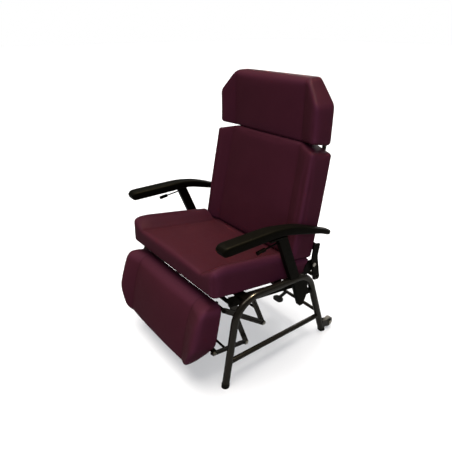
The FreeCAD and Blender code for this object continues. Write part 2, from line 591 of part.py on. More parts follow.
def lever_grip(name, side, inside):
    """A moulded sleeve on the lever's end."""
    grip = doc.addObject("PartDesign::Body", "lever_sleeve_" + name)
    lever_frame(grip)
    start = "lever_eye / 2 - lever_lap + lever_length - grip_length + grip_end"
    sketch = sketch_on(grip, "XZ_Plane", start)
    middle = f"{side} * ({inside} + lever_thick / 2)"
    add_circle(sketch, middle, "0", "grip_dia")
    pad(grip, sketch, "grip_length")
    bore = sketch_on(grip, "XZ_Plane", start)
    add_circle(bore, middle, "0", "lever_rod")
    doc.recompute()
    pocket = grip.newObject("PartDesign::Pocket", grip.Name + "_bore")
    pocket.Profile = bore
    pocket.setExpression("Length", ex("grip_length - grip_end"))
    pocket.Reversed = True
    return grip


def seat(cores):
    """Seat pad and board on two cross bars between side bars, which stays tie to the rails."""
    bolster = ("seat_half", "seat_foot", "seat_recess")
    level = ("seat_half", "seat_foot", "roll_lift")
    stations = [("0", *bolster, "edge_inset"), ("edge_run", *bolster, "0"), ("seat_roll_length", *bolster, "0"),
                ("seat_roll_length + edge_run", *level, "0", "seat_lower"),
                ("seat_run - edge_run", *level, "0", "seat_lower"),
                ("seat_run", *level, "edge_inset", "seat_lower")]
    thick = "((seat_depth - board_thick) / cos(seat_tilt))"
    keep("seat_cushion", cushion("seat_pad", "seat_pad", thick, stations, SEAT_DROP))
    width = "(seat_half - side_swell - board_inset)"
    keep("seat_board", board("seat_panel", "seat", "(seat_depth - board_thick)", "board_inset",
                             "seat_run - board_inset", width, width))
    bars, stays = [], []
    for name, y in (("front", "cross_front_y"), ("rear", "cross_rear_y")):
        low, half = f"({y} - seat_front_y) / cos(seat_tilt)", "cross_width / 2"
        bar = new_body("cross_bar_" + name, "seat")
        sketch = sketch_on(bar, "YZ_Plane", f"-{BAR_IN}")
        for edge in ("0", "cross_wall"):
            add_chain(sketch, [(f"seat_depth + {edge}", f"{low} - {half} + {edge}"),
                               (f"seat_depth + cross_thick - {edge}", f"{low} - {half} + {edge}"),
                               (f"seat_depth + cross_thick - {edge}", f"{low} + {half} - {edge}"),
                               (f"seat_depth + {edge}", f"{low} + {half} - {edge}")], True)
        pad(bar, sketch, f"2 * {BAR_IN}")
        bars.append(bar)
    keep("seat_cross_bars", group("seat_cross_bars", bars))
    for name, side in SIDES.items():
        front_under, rear_under = seat_under("bar_front_y"), seat_under("bar_rear_y")
        lug_low, lug_high = f"{HINGE_Z} - lug_half", f"{HINGE_Z} + lug_half"
        outline = [("bar_front_y", f"{front_under} + bar_lap"), ("bar_rear_y", f"{rear_under} + bar_lap"),
                   ("hinge_y - lug_lead", f"{HINGE_Z} + lug_rise"),
                   ("hinge_y - lug_half", lug_high, "lug_neck"), ("hinge_y + lug_half", lug_high, "lug_round"),
                   ("hinge_y + lug_half", lug_low, "lug_neck"), ("hinge_y - lug_lead", f"{HINGE_Z} - lug_drop"),
                   ("bar_rear_y", f"{rear_under} - bar_height"),
                   ("bar_front_y", f"{front_under} - bar_height", "bar_round")]
        holes = [("crank_y", "crank_z", "bolt_dia"), ("guide_y", "guide_z", "bolt_dia"),
                 ("hinge_y", HINGE_Z, "hinge_dia")]
        keep("seat_bar_" + name, side_plate("seat_bar_" + name, BAR_IN, "bar_thick", outline, holes, side=side))
        for place in ("stay_front_y", "stay_rear_y"):
            high = f"{rail_axis(place)} - stay_drop"
            low = f"{high} - stay_height"
            front, rear = f"{place} - stay_width / 2", f"{place} + stay_width / 2"
            start = f"{BAR_IN} + bar_thick"
            stay = side_plate(f"stay_{place}_{name}", start, f"frame_half - ({start})",
                              [(front, low), (rear, low), (rear, high), (front, high)], side=side)
            stays.append(cut(stay.Name, stay, [cores[name]]))
    keep("seat_stays", group("seat_stays", stays))


def footrest():
    """Footrest pad, its board and ears, and the six-bar linkage on each side."""
    hole = "bolt_dia + 2 * pivot_play"
    names = ("lift_links", "guide_links", "push_links", "crank_links", "seat_pivot_bolts", "crank_bolts",
             "lift_pins", "guide_pins", "push_pins")
    sets = {label: [] for label in names}
    for name, side in SIDES.items():
        sets["lift_links"].append(link("lift_link_" + name, side, LIFT_IN, "bar", "knee",
                                       [("0", "bolt_dia"), ("lift_reach", hole), ("end", "bolt_dia")]))
        sets["guide_links"].append(link("guide_link_" + name, side, CRANK_IN, "guide", "knee",
                                        [("0", hole), ("end", "bolt_dia")]))
        sets["push_links"].append(link("push_link_" + name, side, PUSH_IN, "elbow", "foot",
                                       [("0", hole), ("end", "bolt_dia")]))
        crank_plate = link("crank_plate_" + name, side, CRANK_IN, "crank", "elbow",
                           [("0", hole), ("crank_reach", "bolt_dia"), ("end", "bolt_dia")])
        tube_y, tube_z = PIVOTS["crank_tube"]
        lug = side_plate("crank_lug_" + name, CRANK_IN, "link_thick",
                         [(f"{tube_y} - crank_lug_lead", f"{tube_z} - crank_lug"),
                          (f"{tube_y} + crank_lug", f"{tube_z} - crank_lug", "crank_lug_round"),
                          (f"{tube_y} + crank_lug", f"{tube_z} + crank_lug", "crank_lug_round"),
                          (f"{tube_y} - crank_lug_lead", f"{tube_z} + crank_lug")], side=side)
        sets["crank_links"].append(join("crank_link_" + name, [crank_plate, lug]))
        reach = f"{BAR_IN} + bar_thick - {CRANK_IN} + face_gap"
        for pivot in ("crank", "guide"):
            fastener = bolt(f"{pivot}_bolt_{name}", side, f"{CRANK_IN} - face_gap", reach, pivot)
            collar_start = f"{CRANK_IN} + link_thick + face_gap"
            add_collar(fastener, side, collar_start, f"{BAR_IN} - ({collar_start})", PIVOTS[pivot])
            sets["seat_pivot_bolts"].append(fastener)
        sets["crank_bolts"].append(bolt("cross_bolt_" + name, side, CRANK_IN,
                                        f"{LIFT_IN} + link_thick - {CRANK_IN} + face_gap", "cross"))
        sets["crank_bolts"].append(bolt("elbow_bolt_" + name, side, f"{PUSH_IN} - face_gap",
                                        f"{CRANK_IN} + link_thick - {PUSH_IN} + face_gap", "elbow"))
        sets["lift_pins"].append(bolt("lift_pin_" + name, side, LIFT_IN, "link_thick", "knee", nut=False))
        sets["guide_pins"].append(bolt("guide_pin_" + name, -side, f"-({CRANK_IN}) - link_thick", "link_thick",
                                       "knee", nut=False))
        sets["push_pins"].append(bolt("push_pin_" + name, side, PUSH_IN, "link_thick", "foot", nut=False))
    for label, pieces in sets.items():
        keep(label, group(label, pieces))
    keep("guide_tie", cross_round("guide_tie", f"-({CRANK_IN})", f"2 * {CRANK_IN}", "(guide_y + knee_y) / 2",
                                  "(guide_z + knee_z) / 2", "tie_dia"))
    push_length = "sqrt((elbow_y - foot_y)^2 + (elbow_z - foot_z)^2)"
    keep("push_tie", cross_round("push_tie", f"-({PUSH_IN})", f"2 * {PUSH_IN}",
                                 f"foot_y + push_tie_reach * (elbow_y - foot_y) / {push_length}",
                                 f"foot_z + push_tie_reach * (elbow_z - foot_z) / {push_length}", "tie_dia"))
    tube_y, tube_z = PIVOTS["crank_tube"]
    keep("crank_tube", cross_round("crank_tube", f"-({CRANK_IN})", f"2 * {CRANK_IN}", tube_y, tube_z,
                                   "crank_tube_dia", "crank_tube_dia - 2 * tie_wall"))
    pivot_bar = cross_round("pivot_rod", f"-({LIFT_IN})", f"2 * {LIFT_IN}", PIVOT_BAR_Y, PIVOT_BAR_Z,
                            "pivot_bar_dia")
    ends = [bolt("bar_end_" + name, side, LIFT_IN, "link_thick", "bar", nut=False)
            for name, side in SIDES.items()]
    keep("footrest_pivot_bar", join("footrest_pivot_bar", [pivot_bar] + ends))
    wide = ("leg_half", "leg_foot", "leg_recess")
    stations = [("0", *wide, "edge_inset"), ("edge_run", *wide, "0"), ("leg_height", *wide, "0")]
    pad_body = cushion("leg_pad", "leg", "leg_depth", stations)
    cut_corners(pad_body, "leg_corner_cut", "leg_depth", "leg_low_half", "0", "leg_half", "leg_chamfer",
                "-bevel_over")
    bevel = sketch_on(pad_body, "YZ_Plane", "-2 * leg_half")
    slant = f"((leg_bevel_front - leg_bevel_rear) / {LEG_REAR})"
    add_chain(bevel, [("-bevel_over", "leg_bevel_front + bevel_over"),
                      ("-bevel_over", "leg_bevel_front"),
                      (f"{LEG_REAR} + bevel_over", f"leg_bevel_rear - bevel_over * {slant}"),
                      (f"{LEG_REAR} + bevel_over", "leg_bevel_front + bevel_over")], True)
    bevel_cut = pad_body.newObject("PartDesign::Pocket", "leg_bevel_cut")
    bevel_cut.Profile = bevel
    bevel_cut.setExpression("Length", ex("4 * leg_half"))
    bevel_cut.Reversed = True
    keep("footrest_cushion", pad_body)
    keep("footrest_board", board("leg_panel", "leg", "leg_depth", "panel_low", "leg_bevel_rear - panel_end",
                                 "leg_low_half - board_inset", "leg_half - board_inset"))
    keep("footrest_ears", group("footrest_ears", footrest_ears()))


def footrest_ears():
    """Bracket plates behind the footrest board that hold the pivot bar and the push links."""
    sine, cosine = "sin(leg_lean)", "cos(leg_lean)"
    ears = []

    def local(point):
        y, z = PIVOTS[point]
        return (f"(({y} - leg_low_y) * {cosine} - ({z} - leg_low_z) * {sine})",
                f"(({y} - leg_low_y) * {sine} + ({z} - leg_low_z) * {cosine})")

    bar_y, bar_z = local("bar")
    foot_y, foot_z = local("foot")
    low, high = f"{foot_z} - flange_half", f"{foot_z} + flange_half"
    flange_rear = f"{LEG_REAR} + flange_thick"
    for name, side in SIDES.items():
        x = "leg_half - board_inset - ear_thick - ear_inset"
        upper = side_plate("ear_upper_" + name, x, "ear_thick",
                           [(LEG_REAR, "leg_bevel_rear - ear_length"),
                            (f"{LEG_REAR} + ear_foot", "leg_bevel_rear - ear_length", "ear_round / 2"),
                            (f"{bar_y} + ear_half", f"{bar_z} + ear_half", "ear_round"),
                            (f"{bar_y} - ear_half", f"{bar_z} + ear_half", "ear_round"),
                            (f"{bar_y} - ear_half", f"{bar_z} - ear_half / 2"),
                            (LEG_REAR, "leg_bevel_rear - panel_end")],
                           [(bar_y, bar_z, "pivot_bar_dia + 2 * pivot_play")], frame="leg", side=side)
        ears.append(upper)
        inner, outer = "(leg_low_half - board_inset - flange_lap)", f"({PUSH_IN} - layer_gap)"
        flange = side_plate("ear_flange_" + name, inner, f"{outer} - {inner}",
                            [(LEG_REAR, low), (flange_rear, low), (flange_rear, high), (LEG_REAR, high)],
                            frame="leg", side=side)
        lug = side_plate("ear_lug_" + name, f"{outer} - ear_thick", "ear_thick",
                         [(f"{foot_y} - ear_half", f"{foot_z} - ear_half", "ear_round"), (flange_rear, low),
                          (flange_rear, high), (f"{foot_y} - ear_half", f"{foot_z} + ear_half", "ear_round")],
                         [(foot_y, foot_z, "bolt_dia")], frame="leg", side=side)
        stub = bolt("ear_stub_" + name, -side, f"-({outer})", "ear_thick", (foot_y, foot_z), nut=False,
                    frame="leg")
        ears.append(join("ear_lower_" + name, [flange, lug, stub]))
    return ears


def backrest():
    """Back pad and board on two tubes, the hinge arms at the seat's rear and the lever tube below."""
    low = ("back_half_low", "back_foot_low", "back_recess")
    top = ("back_half_top", "back_foot_top", "back_recess")
    crest = "(back_height + back_crown)"
    stations = [("0", *low, "edge_inset"), ("back_edge_run", *low, "0"),
                (f"{crest} - back_edge_run", *top, "0"), (crest, *top, "edge_inset")]
    pad_body = cushion("back_pad", "back", "back_depth", stations)
    cut_corners(pad_body, "back_corner_cut", "back_depth", "back_foot_top", crest, "back_half_top",
                "back_height", "bevel_over")
    keep("back_cushion", pad_body)
    tubes, arms = [], []
    width = "back_tube_x - back_tube_dia / 2 - layer_gap"
    keep("back_board", board("back_panel", "back", "back_depth", "board_inset", "back_height - board_inset",
                             width, width))
    for name, side in SIDES.items():
        tube = upright_round("back_tube_" + name, f"{side} * back_tube_x", BACK_TUBE_Y, "back_tube_low",
                             "back_height - back_tube_low - back_tube_top", "back_tube_dia",
                             "back_tube_dia - 2 * back_tube_wall", "back")
        tubes.append(tube)
        sine, cosine = "sin(back_lean)", "cos(back_lean)"
        hinge = (f"((hinge_y - back_low_y) * {cosine} - ({HINGE_Z} - {BACK_LOW_Z}) * {sine})",
                 f"((hinge_y - back_low_y) * {sine} + ({HINGE_Z} - {BACK_LOW_Z}) * {cosine})")
        tube_y, tube_z = PIVOTS["lever_tube"]
        lever = (f"(({tube_y} - back_low_y) * {cosine} - ({tube_z} - {BACK_LOW_Z}) * {sine})",
                 f"(({tube_y} - back_low_y) * {sine} + ({tube_z} - {BACK_LOW_Z}) * {cosine})")
        half, lip = "(yoke_height / 2)", f"{YOKE_Y} + hinge_arm_lip"
        top = "yoke_low + yoke_height + hinge_arm_top"
        outline = [(f"{lever[0]} - {half}", f"{lever[1]} - {half}", "hinge_arm_round"),
                   (f"{lever[0]} + 1.5 * {half}", f"{lever[1]} - {half}", "hinge_arm_round"),
                   (lip, f"{hinge[1]} + hinge_arm_elbow", "hinge_arm_bend"), (lip, top, "hinge_arm_corner"),
                   (f"{YOKE_Y} - yoke_height", top, "hinge_arm_corner"),
                   (f"{hinge[0]} - {half}", f"{hinge[1]} + hinge_arm_round", "hinge_arm_round")]
        holes = [(*hinge, "hinge_dia + 2 * pivot_play"), (*lever, "lever_tube_dia")]
        arms.append(side_plate("back_arm_" + name, BACK_ARM_IN, "bar_thick", outline, holes, "back", side))
    keep("back_tubes", group("back_tubes", tubes))
    keep("back_arms", group("back_arms", arms))
    yoke = side_plate("yoke_strip", f"-{BACK_ARM_IN}", f"2 * {BACK_ARM_IN}",
                      [(YOKE_Y, "yoke_low"), (f"{YOKE_Y} + yoke_thick", "yoke_low"),
                       (f"{YOKE_Y} + yoke_thick", "yoke_low + yoke_height"),
                       (YOKE_Y, "yoke_low + yoke_height")], frame="back")
    keep("back_yoke", yoke)
    tube_y, tube_z = PIVOTS["lever_tube"]
    end = f"({BACK_ARM_IN} + bar_thick)"
    keep("back_lever_tube", cross_round("back_lever_tube", f"-{end}", f"2 * {end}", tube_y, tube_z,
                                        "lever_tube_dia", "lever_tube_dia - 2 * tie_wall"))
    reach = "bar_thick * 2 + arm_gap + face_gap"
    bolts = [bolt("hinge_bolt_" + name, side, BAR_IN, reach, "hinge", "hinge_dia", nut=False)
             for name, side in SIDES.items()]
    keep("back_hinge_bolts", group("back_hinge_bolts", bolts))


def headrest():
    """Head pad and board on two posts that slide in the back tubes."""
    wide = ("head_half", "head_foot", "head_recess")
    stations = [("0", *wide, "edge_inset"), ("edge_run", *wide, "0"),
                ("head_height - edge_run", *wide, "0"), ("head_height", *wide, "edge_inset")]
    pad_body = cushion("head_pad", "head", "head_depth", stations)
    cut_corners(pad_body, "head_corner_cut", "head_depth", "head_top_half", "head_height", "head_half",
                "head_shoulder", "bevel_over")
    keep("headrest_cushion", pad_body)
    keep("headrest_board", board("head_panel", "head", "head_depth", "board_inset",
                                 "head_shoulder + board_inset", "head_half - board_inset / 2",
                                 "head_half - board_inset"))
    brackets, posts = [], []
    sine, cosine = "sin(back_lean)", "cos(back_lean)"
    start_y = f"(back_low_y + {BACK_TUBE_Y} * {cosine} + post_low * {sine})"
    start_z = f"({BACK_LOW_Z} - {BACK_TUBE_Y} * {sine} + post_low * {cosine})"
    post_y = f"({start_y} + ({HEAD_LOW_Z} - {start_z}) * tan(back_lean))"
    post_dia = "back_tube_dia - 2 * back_tube_wall - 2 * slide_play"
    route = [(start_y, start_z), (post_y, HEAD_LOW_Z), (post_y, f"{HEAD_LOW_Z} + post_top")]
    for name, side in SIDES.items():
        post = bent_tube("headrest_post_" + name, f"{side} * back_tube_x", route, "post_bend", post_dia)
        posts.append(post)
        plate = side_plate("bracket_" + name, "back_tube_x - bracket_width / 2", "bracket_width",
                           [(HEAD_REAR, "bracket_low"), (f"{post_y} - {HEAD_FRONT_Y}", "bracket_low"),
                            (f"{post_y} - {HEAD_FRONT_Y}", "bracket_high"), (HEAD_REAR, "bracket_high")],
                           frame="head", side=side)
        brackets.append(cut("bracket_" + name, plate, [post]))
    keep("headrest_posts", group("headrest_posts", posts))
    keep("headrest_brackets", group("headrest_brackets", brackets))


def gas_springs():
    """Two lockable gas springs below the seat: one holds the back, one the footrest."""
    tube_y, tube_z = PIVOTS["lever_tube"]
    back_z = f"({tube_z} - back_eye_drop)"
    strap_rear = "(cross_front_y + front_strap_reach)"
    bore = "rod_dia + 2 * pivot_play"

    def bar_under(y):
        return f"{seat_under(y)} - cross_thick / cos(seat_tilt)"

    lead, heel = "cross_front_y - strap_half", "cross_front_y + strap_half"
    inner, end = f"{strap_rear} - strap_thick", f"{back_z} - spring_dia / 2 - strap_end"
    front_strap = side_plate("strap_front", "spring_x - strap_width / 2", "strap_width",
                             [(lead, bar_under(lead)), (lead, f"{bar_under(lead)} - strap_thick"),
                              (inner, f"{bar_under(heel)} - strap_thick", "strap_round"),
                              (inner, end), (strap_rear, end),
                              (strap_rear, f"{bar_under(heel)} - strap_thick / 3", "strap_round"),
                              (heel, bar_under(heel))])
    cylinder = along_round("back_spring_cylinder", "spring_x", back_z, f"{strap_rear} + spring_length",
                           "spring_length", "spring_dia", bore)
    keep("back_spring_cylinder", cylinder)
    keep("back_spring_rod", spring_rod("back_spring_rod", "spring_x", back_z, tube_y, "lever_tube_dia",
                                       f"{strap_rear} + rod_hidden", 1))
    crank_y, crank_z = PIVOTS["crank_tube"]
    leg_z = f"({crank_z} - leg_eye_drop)"
    strap_front = "(cross_rear_y - rear_strap_reach)"
    lead, heel = "cross_rear_y - strap_half", "cross_rear_y + strap_half"
    inner, end = f"({strap_front} + strap_thick)", f"{leg_z} - spring_dia / 2 - strap_end"
    rear_strap = side_plate("strap_rear", "spring_x - strap_width / 2", "strap_width",
                            [(strap_front, end), (inner, end), (inner, f"{bar_under(inner)} - strap_thick"),
                             (heel, f"{bar_under(heel)} - strap_thick"), (heel, bar_under(heel)),
                             (lead, bar_under(lead)), (strap_front, bar_under(strap_front))], side=-1)
    keep("spring_straps", group("spring_straps", [front_strap, rear_strap]))
    keep("footrest_spring_cylinder", along_round("footrest_spring_cylinder", "-spring_x", leg_z, strap_front,
                                                 "spring_length", "spring_dia", bore))
    keep("footrest_spring_rod", spring_rod("footrest_spring_rod", "-spring_x", leg_z, crank_y, "crank_tube_dia",
                                           f"{strap_front} - rod_hidden", -1))


def spring_rod(label, x, z, tube_y, tube_dia, inner_y, heading):
    """A piston rod whose end eye goes round a lever tube with room for the tube's small arc."""
    eye = f"({tube_dia} / 2 + eye_play)"
    ring = cross_round(label + "_eye", f"{x} - eye_width / 2", "eye_width", tube_y, z,
                       f"2 * ({eye} + eye_wall)", f"2 * {eye}")
    near = f"({tube_y} - {heading} * ({eye} + eye_wall * 0.6))"
    if heading > 0:
        rod = along_round(label + "_rod", x, z, near, f"{near} - ({inner_y})", "rod_dia")
    else:
        rod = along_round(label + "_rod", x, z, inner_y, f"({inner_y}) - {near}", "rod_dia")
    return join(label, [ring, rod])


def check_all():
    """Stops if any object failed or any sub-part is empty or invalid."""
    for item in doc.Objects:
        if "Invalid" in item.State or "Error" in item.State:
            raise RuntimeError(f"{item.Label} failed: {item.State}")
    for label, piece in nodes.items():
        if piece.Shape.isNull() or not piece.Shape.isValid() or not piece.Shape.Solids:
            raise RuntimeError(f"{label} has no valid solid")


def write_parts():
    """Writes one file for each sub-part."""
    os.makedirs("parts", exist_ok=True)
    for label, piece in nodes.items():
        piece.Shape.exportStep(f"parts/{label}.step")


sheet = make_sheet()
frame_cores = side_frames()
wheels(frame_cores)
arm_rests(frame_cores)
seat(frame_cores)
footrest()
backrest()
headrest()
gas_springs()
doc.recompute()
check_all()
write_parts()
print(len(nodes), "sub-parts written")
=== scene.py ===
import itertools
import math
from typing import NamedTuple

import bmesh
import bpy
import numpy as np
from bpy.props import FloatProperty, FloatVectorProperty, IntProperty, PointerProperty
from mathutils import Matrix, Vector
from mathutils.bvhtree import BVHTree


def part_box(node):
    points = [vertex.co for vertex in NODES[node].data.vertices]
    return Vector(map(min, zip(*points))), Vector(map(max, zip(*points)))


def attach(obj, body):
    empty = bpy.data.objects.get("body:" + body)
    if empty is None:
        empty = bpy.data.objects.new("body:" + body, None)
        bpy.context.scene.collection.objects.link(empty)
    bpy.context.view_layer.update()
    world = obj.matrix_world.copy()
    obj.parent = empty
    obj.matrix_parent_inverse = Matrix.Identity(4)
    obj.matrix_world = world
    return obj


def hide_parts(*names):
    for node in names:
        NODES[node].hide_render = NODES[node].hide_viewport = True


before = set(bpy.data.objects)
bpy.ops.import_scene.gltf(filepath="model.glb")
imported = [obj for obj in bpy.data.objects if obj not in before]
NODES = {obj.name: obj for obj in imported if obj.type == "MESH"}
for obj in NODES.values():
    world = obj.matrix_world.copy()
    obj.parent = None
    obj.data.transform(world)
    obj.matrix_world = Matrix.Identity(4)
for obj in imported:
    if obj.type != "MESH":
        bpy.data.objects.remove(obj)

bl_info = {
    "name": "Patient rest chair finish",
    "version": (1, 0, 0),
    "blender": (4, 5, 0),
    "location": "View3D > Sidebar > Rest chair",
    "description": "Upholsters and finishes a reclining patient rest chair around its packed frame",
    "category": "Object",
}

SIDES = {"left": 1, "right": -1}
MM = 0.001
COOL_SIDE = "pads_in_cool_light"  # the collection of pieces that the cool side light reaches


# Sizes and colours that a user would change

def colour(label, text, default):
    """A colour setting."""
    return FloatVectorProperty(name=label, description=text, subtype="COLOR", size=3, min=0, max=1,
                               default=default)


def length(label, text, default):
    """A length setting in metres."""
    return FloatProperty(name=label, description=text, subtype="DISTANCE", unit="LENGTH", default=default)


def share(label, text, default):
    """A setting between none and all."""
    return FloatProperty(name=label, description=text, subtype="FACTOR", min=0, max=1, default=default)


def power(label, text, default):
    """A lamp's power in watts."""
    return FloatProperty(name=label, description=text, subtype="POWER", default=default)


def strength(label, text, default):
    """A plain strength."""
    return FloatProperty(name=label, description=text, default=default)


class RestChairPads(bpy.types.PropertyGroup):
    """How the four pads are upholstered."""
    mesh_step: length("Mesh step", "Size of one mesh square before subdivision", 7 * MM)
    draw_in: length("Draw in", "How far the cover may draw in along a tight edge", 1.5 * MM)
    swell_limit: length("Swell limit", "The furthest that the cover may move", 22 * MM)
    taut: IntProperty(name="Tautness", description="Smoothing passes over the swelling", default=14)
    pressure: strength("Pressure", "Push of the foam on the cover", 4.0)
    frames: IntProperty(name="Frames", description="Steps of the swelling", default=20)
    seam_depth: length("Seam depth", "How far a sewn line is pulled in", 0.5 * MM)
    # Also the half width of the painted shade along a sewn line.
    seam_width: length("Seam width", "Half width of the hollow along a sewn line", 3.5 * MM)


class RestChairColours(bpy.types.PropertyGroup):
    """Colours of the chair's finishes."""
    vinyl: colour("Vinyl", "Cover of the pads", (0.056, 0.0126, 0.0165))
    # Paler tone of the ridges: wear together with a painted highlight along them.
    vinyl_worn_and_highlit: colour("Worn vinyl", "Cover along its ridges", (0.080, 0.0200, 0.028))
    paint: colour("Paint", "Powder coat of the tubes and links", (0.0120, 0.0106, 0.0078))
    plate: colour("Plate", "Matt coat of the flat plates and the levers", (0.0060, 0.0055, 0.0040))
    moulding: colour("Moulding", "Skin of the arm rests", (0.0048, 0.0044, 0.0030))
    zinc: colour("Zinc", "Plated bolts and pins", (0.72, 0.69, 0.60))
    chrome: colour("Chrome", "Sliding rods of the gas springs", (0.78, 0.78, 0.77))
    rubber: colour("Rubber", "Foot caps, pedal and wheel hubs", (0.012, 0.012, 0.011))
    tyre: colour("Tyre", "Grey tyres of the small wheels", (0.21, 0.20, 0.175))
    panel: colour("Panel", "Painted boards behind the pads", (0.017, 0.015, 0.013))


class RestChairStage(bpy.types.PropertyGroup):
    """Floor, lights and camera."""
    floor: colour("Floor", "Pale studio floor", (0.89, 0.90, 0.925))
    key: strength("Key light", "Strength of the broad light above", 3.2)
    fill: power("Fill light", "Power of the cool side light", 86.0)
    streak: power("Streak", "Power of the small light that gleams on the tubes", 110.0)
    rear: power("Rear light", "Power of the faint light behind the chair", 22.0)
    wash: strength("Floor wash", "Shadowless light on the floor alone", 1.5)
    bounce: share("Bounce", "How much of its light the floor throws back on the chair", 0.24)
    surround: strength("Surround", "Light of the studio's walls", 0.12)
    lens: FloatProperty(name="Lens", description="Focal length", subtype="DISTANCE_CAMERA", default=33.8)


def settings(group):
    """One of the chair's groups of settings."""
    return getattr(bpy.context.scene, "rest_chair_" + group)


# Small sums

def clamp(value):
    """A value held between none and all."""
    return min(1.0, max(0.0, value))


def eased(value):
    """A share from none to all that starts and stops gently."""
    t = clamp(value)
    return t * t * (3 - 2 * t)


# Mesh helpers

WELD_REACH = 0.01 * MM
EDGE_STEPS = 2
EDGE_ANGLE = math.radians(38)


def new_piece(name, vertices, faces, smooth=True):
    """A mesh object in the chair's frame."""
    mesh = bpy.data.meshes.new(name)
    mesh.from_pydata([tuple(v) for v in vertices], [], faces)
    mesh.validate()
    piece = bpy.data.objects.new(name, mesh)
    bpy.context.scene.collection.objects.link(piece)
    mesh.polygons.foreach_set("use_smooth", [smooth] * len(mesh.polygons))
    return piece


def face_outwards(piece):
    """Turns every face of a closed mesh outwards."""
    work = bmesh.new()
    work.from_mesh(piece.data)
    bmesh.ops.recalc_face_normals(work, faces=work.faces)
    work.to_mesh(piece.data)
    work.free()


def add_subdivision(piece):
    """One level of smooth subdivision."""
    modifier = piece.modifiers.new("subdivision", "SUBSURF")
    modifier.levels = modifier.render_levels = 1
    modifier.boundary_smooth = "PRESERVE_CORNERS"


def soften(node, width):
    """Rounds the hard edges of a part without moving its own points."""
    part = NODES[node]
    weld = part.modifiers.new("weld", "WELD")
    weld.merge_threshold = WELD_REACH
    bevel = part.modifiers.new("edges", "BEVEL")
    bevel.width = width
    bevel.segments = EDGE_STEPS
    bevel.limit_method = "ANGLE"
    bevel.angle_limit = EDGE_ANGLE
    bevel.harden_normals = False
    normals = part.modifiers.new("normals", "WEIGHTED_NORMAL")
    normals.keep_sharp = False


def rings_mesh(name, rings):
    """A skin through rings of equal point counts; each end closes on its own middle."""
    count = len(rings[0])
    vertices = [p for ring in rings for p in ring]
    faces = []
    for i, j in itertools.product(range(len(rings) - 1), range(count)):
        a, b = i * count + j, i * count + (j + 1) % count
        faces.append((a, b, b + count, a + count))
    for start in (0, (len(rings) - 1) * count):
        middle = sum((Vector(vertices[start + j]) for j in range(count)), Vector()) / count
        vertices.append(middle)
        faces += [(start + j, start + (j + 1) % count, len(vertices) - 1) for j in range(count)]
    piece = new_piece(name, vertices, faces)
    face_outwards(piece)
    return piece


# Material helpers

MIX_FIRST, MIX_SECOND, MIX_RESULT = 6, 7, 2  # the colour sockets of a Mix node


def shader(name):
    """A new principled material: the material, its node tree and its shader."""
    material = bpy.data.materials.new(name)
    material.use_nodes = True
    return material, material.node_tree, material.node_tree.nodes["Principled BSDF"]


def add_node(tree, kind, **values):
    """A node whose attributes or input sockets are set by name."""
    node = tree.nodes.new("ShaderNode" + kind)
    for key, value in values.items():
        if key in node.inputs:
            node.inputs[key].default_value = value
        else:
            setattr(node, key, value)
    return node


def place(tree):
    """The surface's own place in metres, which moves with the piece."""
    return add_node(tree, "TexCoord").outputs["Object"]


def noise(tree, scale, detail=2.0, roughness=0.5):
    """Soft random cloud over the surface; scale is in waves a metre."""
    node = add_node(tree, "TexNoise", Scale=scale, Detail=detail, Roughness=roughness)
    tree.links.new(place(tree), node.inputs["Vector"])
    return node.outputs["Fac"]


def stretched_noise(tree, scales, detail):
    """Random streaks, whose scales along x, y and z are in waves a metre."""
    stretch = add_node(tree, "Mapping", Scale=scales)
    tree.links.new(place(tree), stretch.inputs["Vector"])
    node = add_node(tree, "TexNoise", Scale=1.0, Detail=detail)
    tree.links.new(stretch.outputs["Vector"], node.inputs["Vector"])
    return node.outputs["Fac"]


def cells(tree, scale):
    """Small rounded cells, as in a pressed grain; scale is in cells a metre."""
    node = add_node(tree, "TexVoronoi", Scale=scale)
    tree.links.new(place(tree), node.inputs["Vector"])
    return node.outputs["Distance"]


def span(tree, source, low, high):
    """A value between none and all, spread between two numbers."""
    node = add_node(tree, "MapRange")
    node.inputs["To Min"].default_value = low
    node.inputs["To Max"].default_value = high
    tree.links.new(source, node.inputs["Value"])
    return node.outputs["Result"]


def blend_colour(tree, source, first, second):
    """Two colours on a ramp, read by a value."""
    node = add_node(tree, "ValToRGB")
    node.color_ramp.elements[0].color = (*first, 1)
    node.color_ramp.elements[1].color = (*second, 1)
    tree.links.new(source, node.inputs["Fac"])
    return node.outputs["Color"]


def mix_colours(tree, source, first, second):
    """Two colours, each a constant or a socket, mixed by a value."""
    node = add_node(tree, "Mix", data_type="RGBA")
    tree.links.new(source, node.inputs["Factor"])
    for socket, tone in ((MIX_FIRST, first), (MIX_SECOND, second)):
        if isinstance(tone, bpy.types.NodeSocket):
            tree.links.new(tone, node.inputs[socket])
        else:
            node.inputs[socket].default_value = (*tone, 1)
    return node.outputs[MIX_RESULT]


def bump(tree, source, strength, depth, below=None):
    """Raises a pattern; depth is its real height in metres."""
    node = add_node(tree, "Bump", Strength=strength, Distance=depth)
    tree.links.new(source, node.inputs["Height"])
    if below:
        tree.links.new(below, node.inputs["Normal"])
    return node.outputs["Normal"]


def scaled(base, factor):
    """A colour made lighter or darker."""
    return tuple(min(1.0, c * factor) for c in base)


def clouded(tree, skin, source, base, darker, lighter):
    """Lets a finish drift between a darker and a lighter tone of its colour."""
    tone = blend_colour(tree, source, scaled(base, darker), scaled(base, lighter))
    tree.links.new(tone, skin.inputs["Base Color"])


def uneven_gloss(tree, skin, source, low, high):
    """Lets a finish's roughness drift between two values."""
    tree.links.new(span(tree, source, low, high), skin.inputs["Roughness"])


def mirroring(skin, level, tint=None):
    """Sets how strongly a finish mirrors, and the tint of its reflection."""
    skin.inputs["Specular IOR Level"].default_value = level
    if tint:
        skin.inputs["Specular Tint"].default_value = (*tint, 1)


# Finishes

TYRE_BORE = 18 * MM
TYRE_EDGE = 0.3 * MM


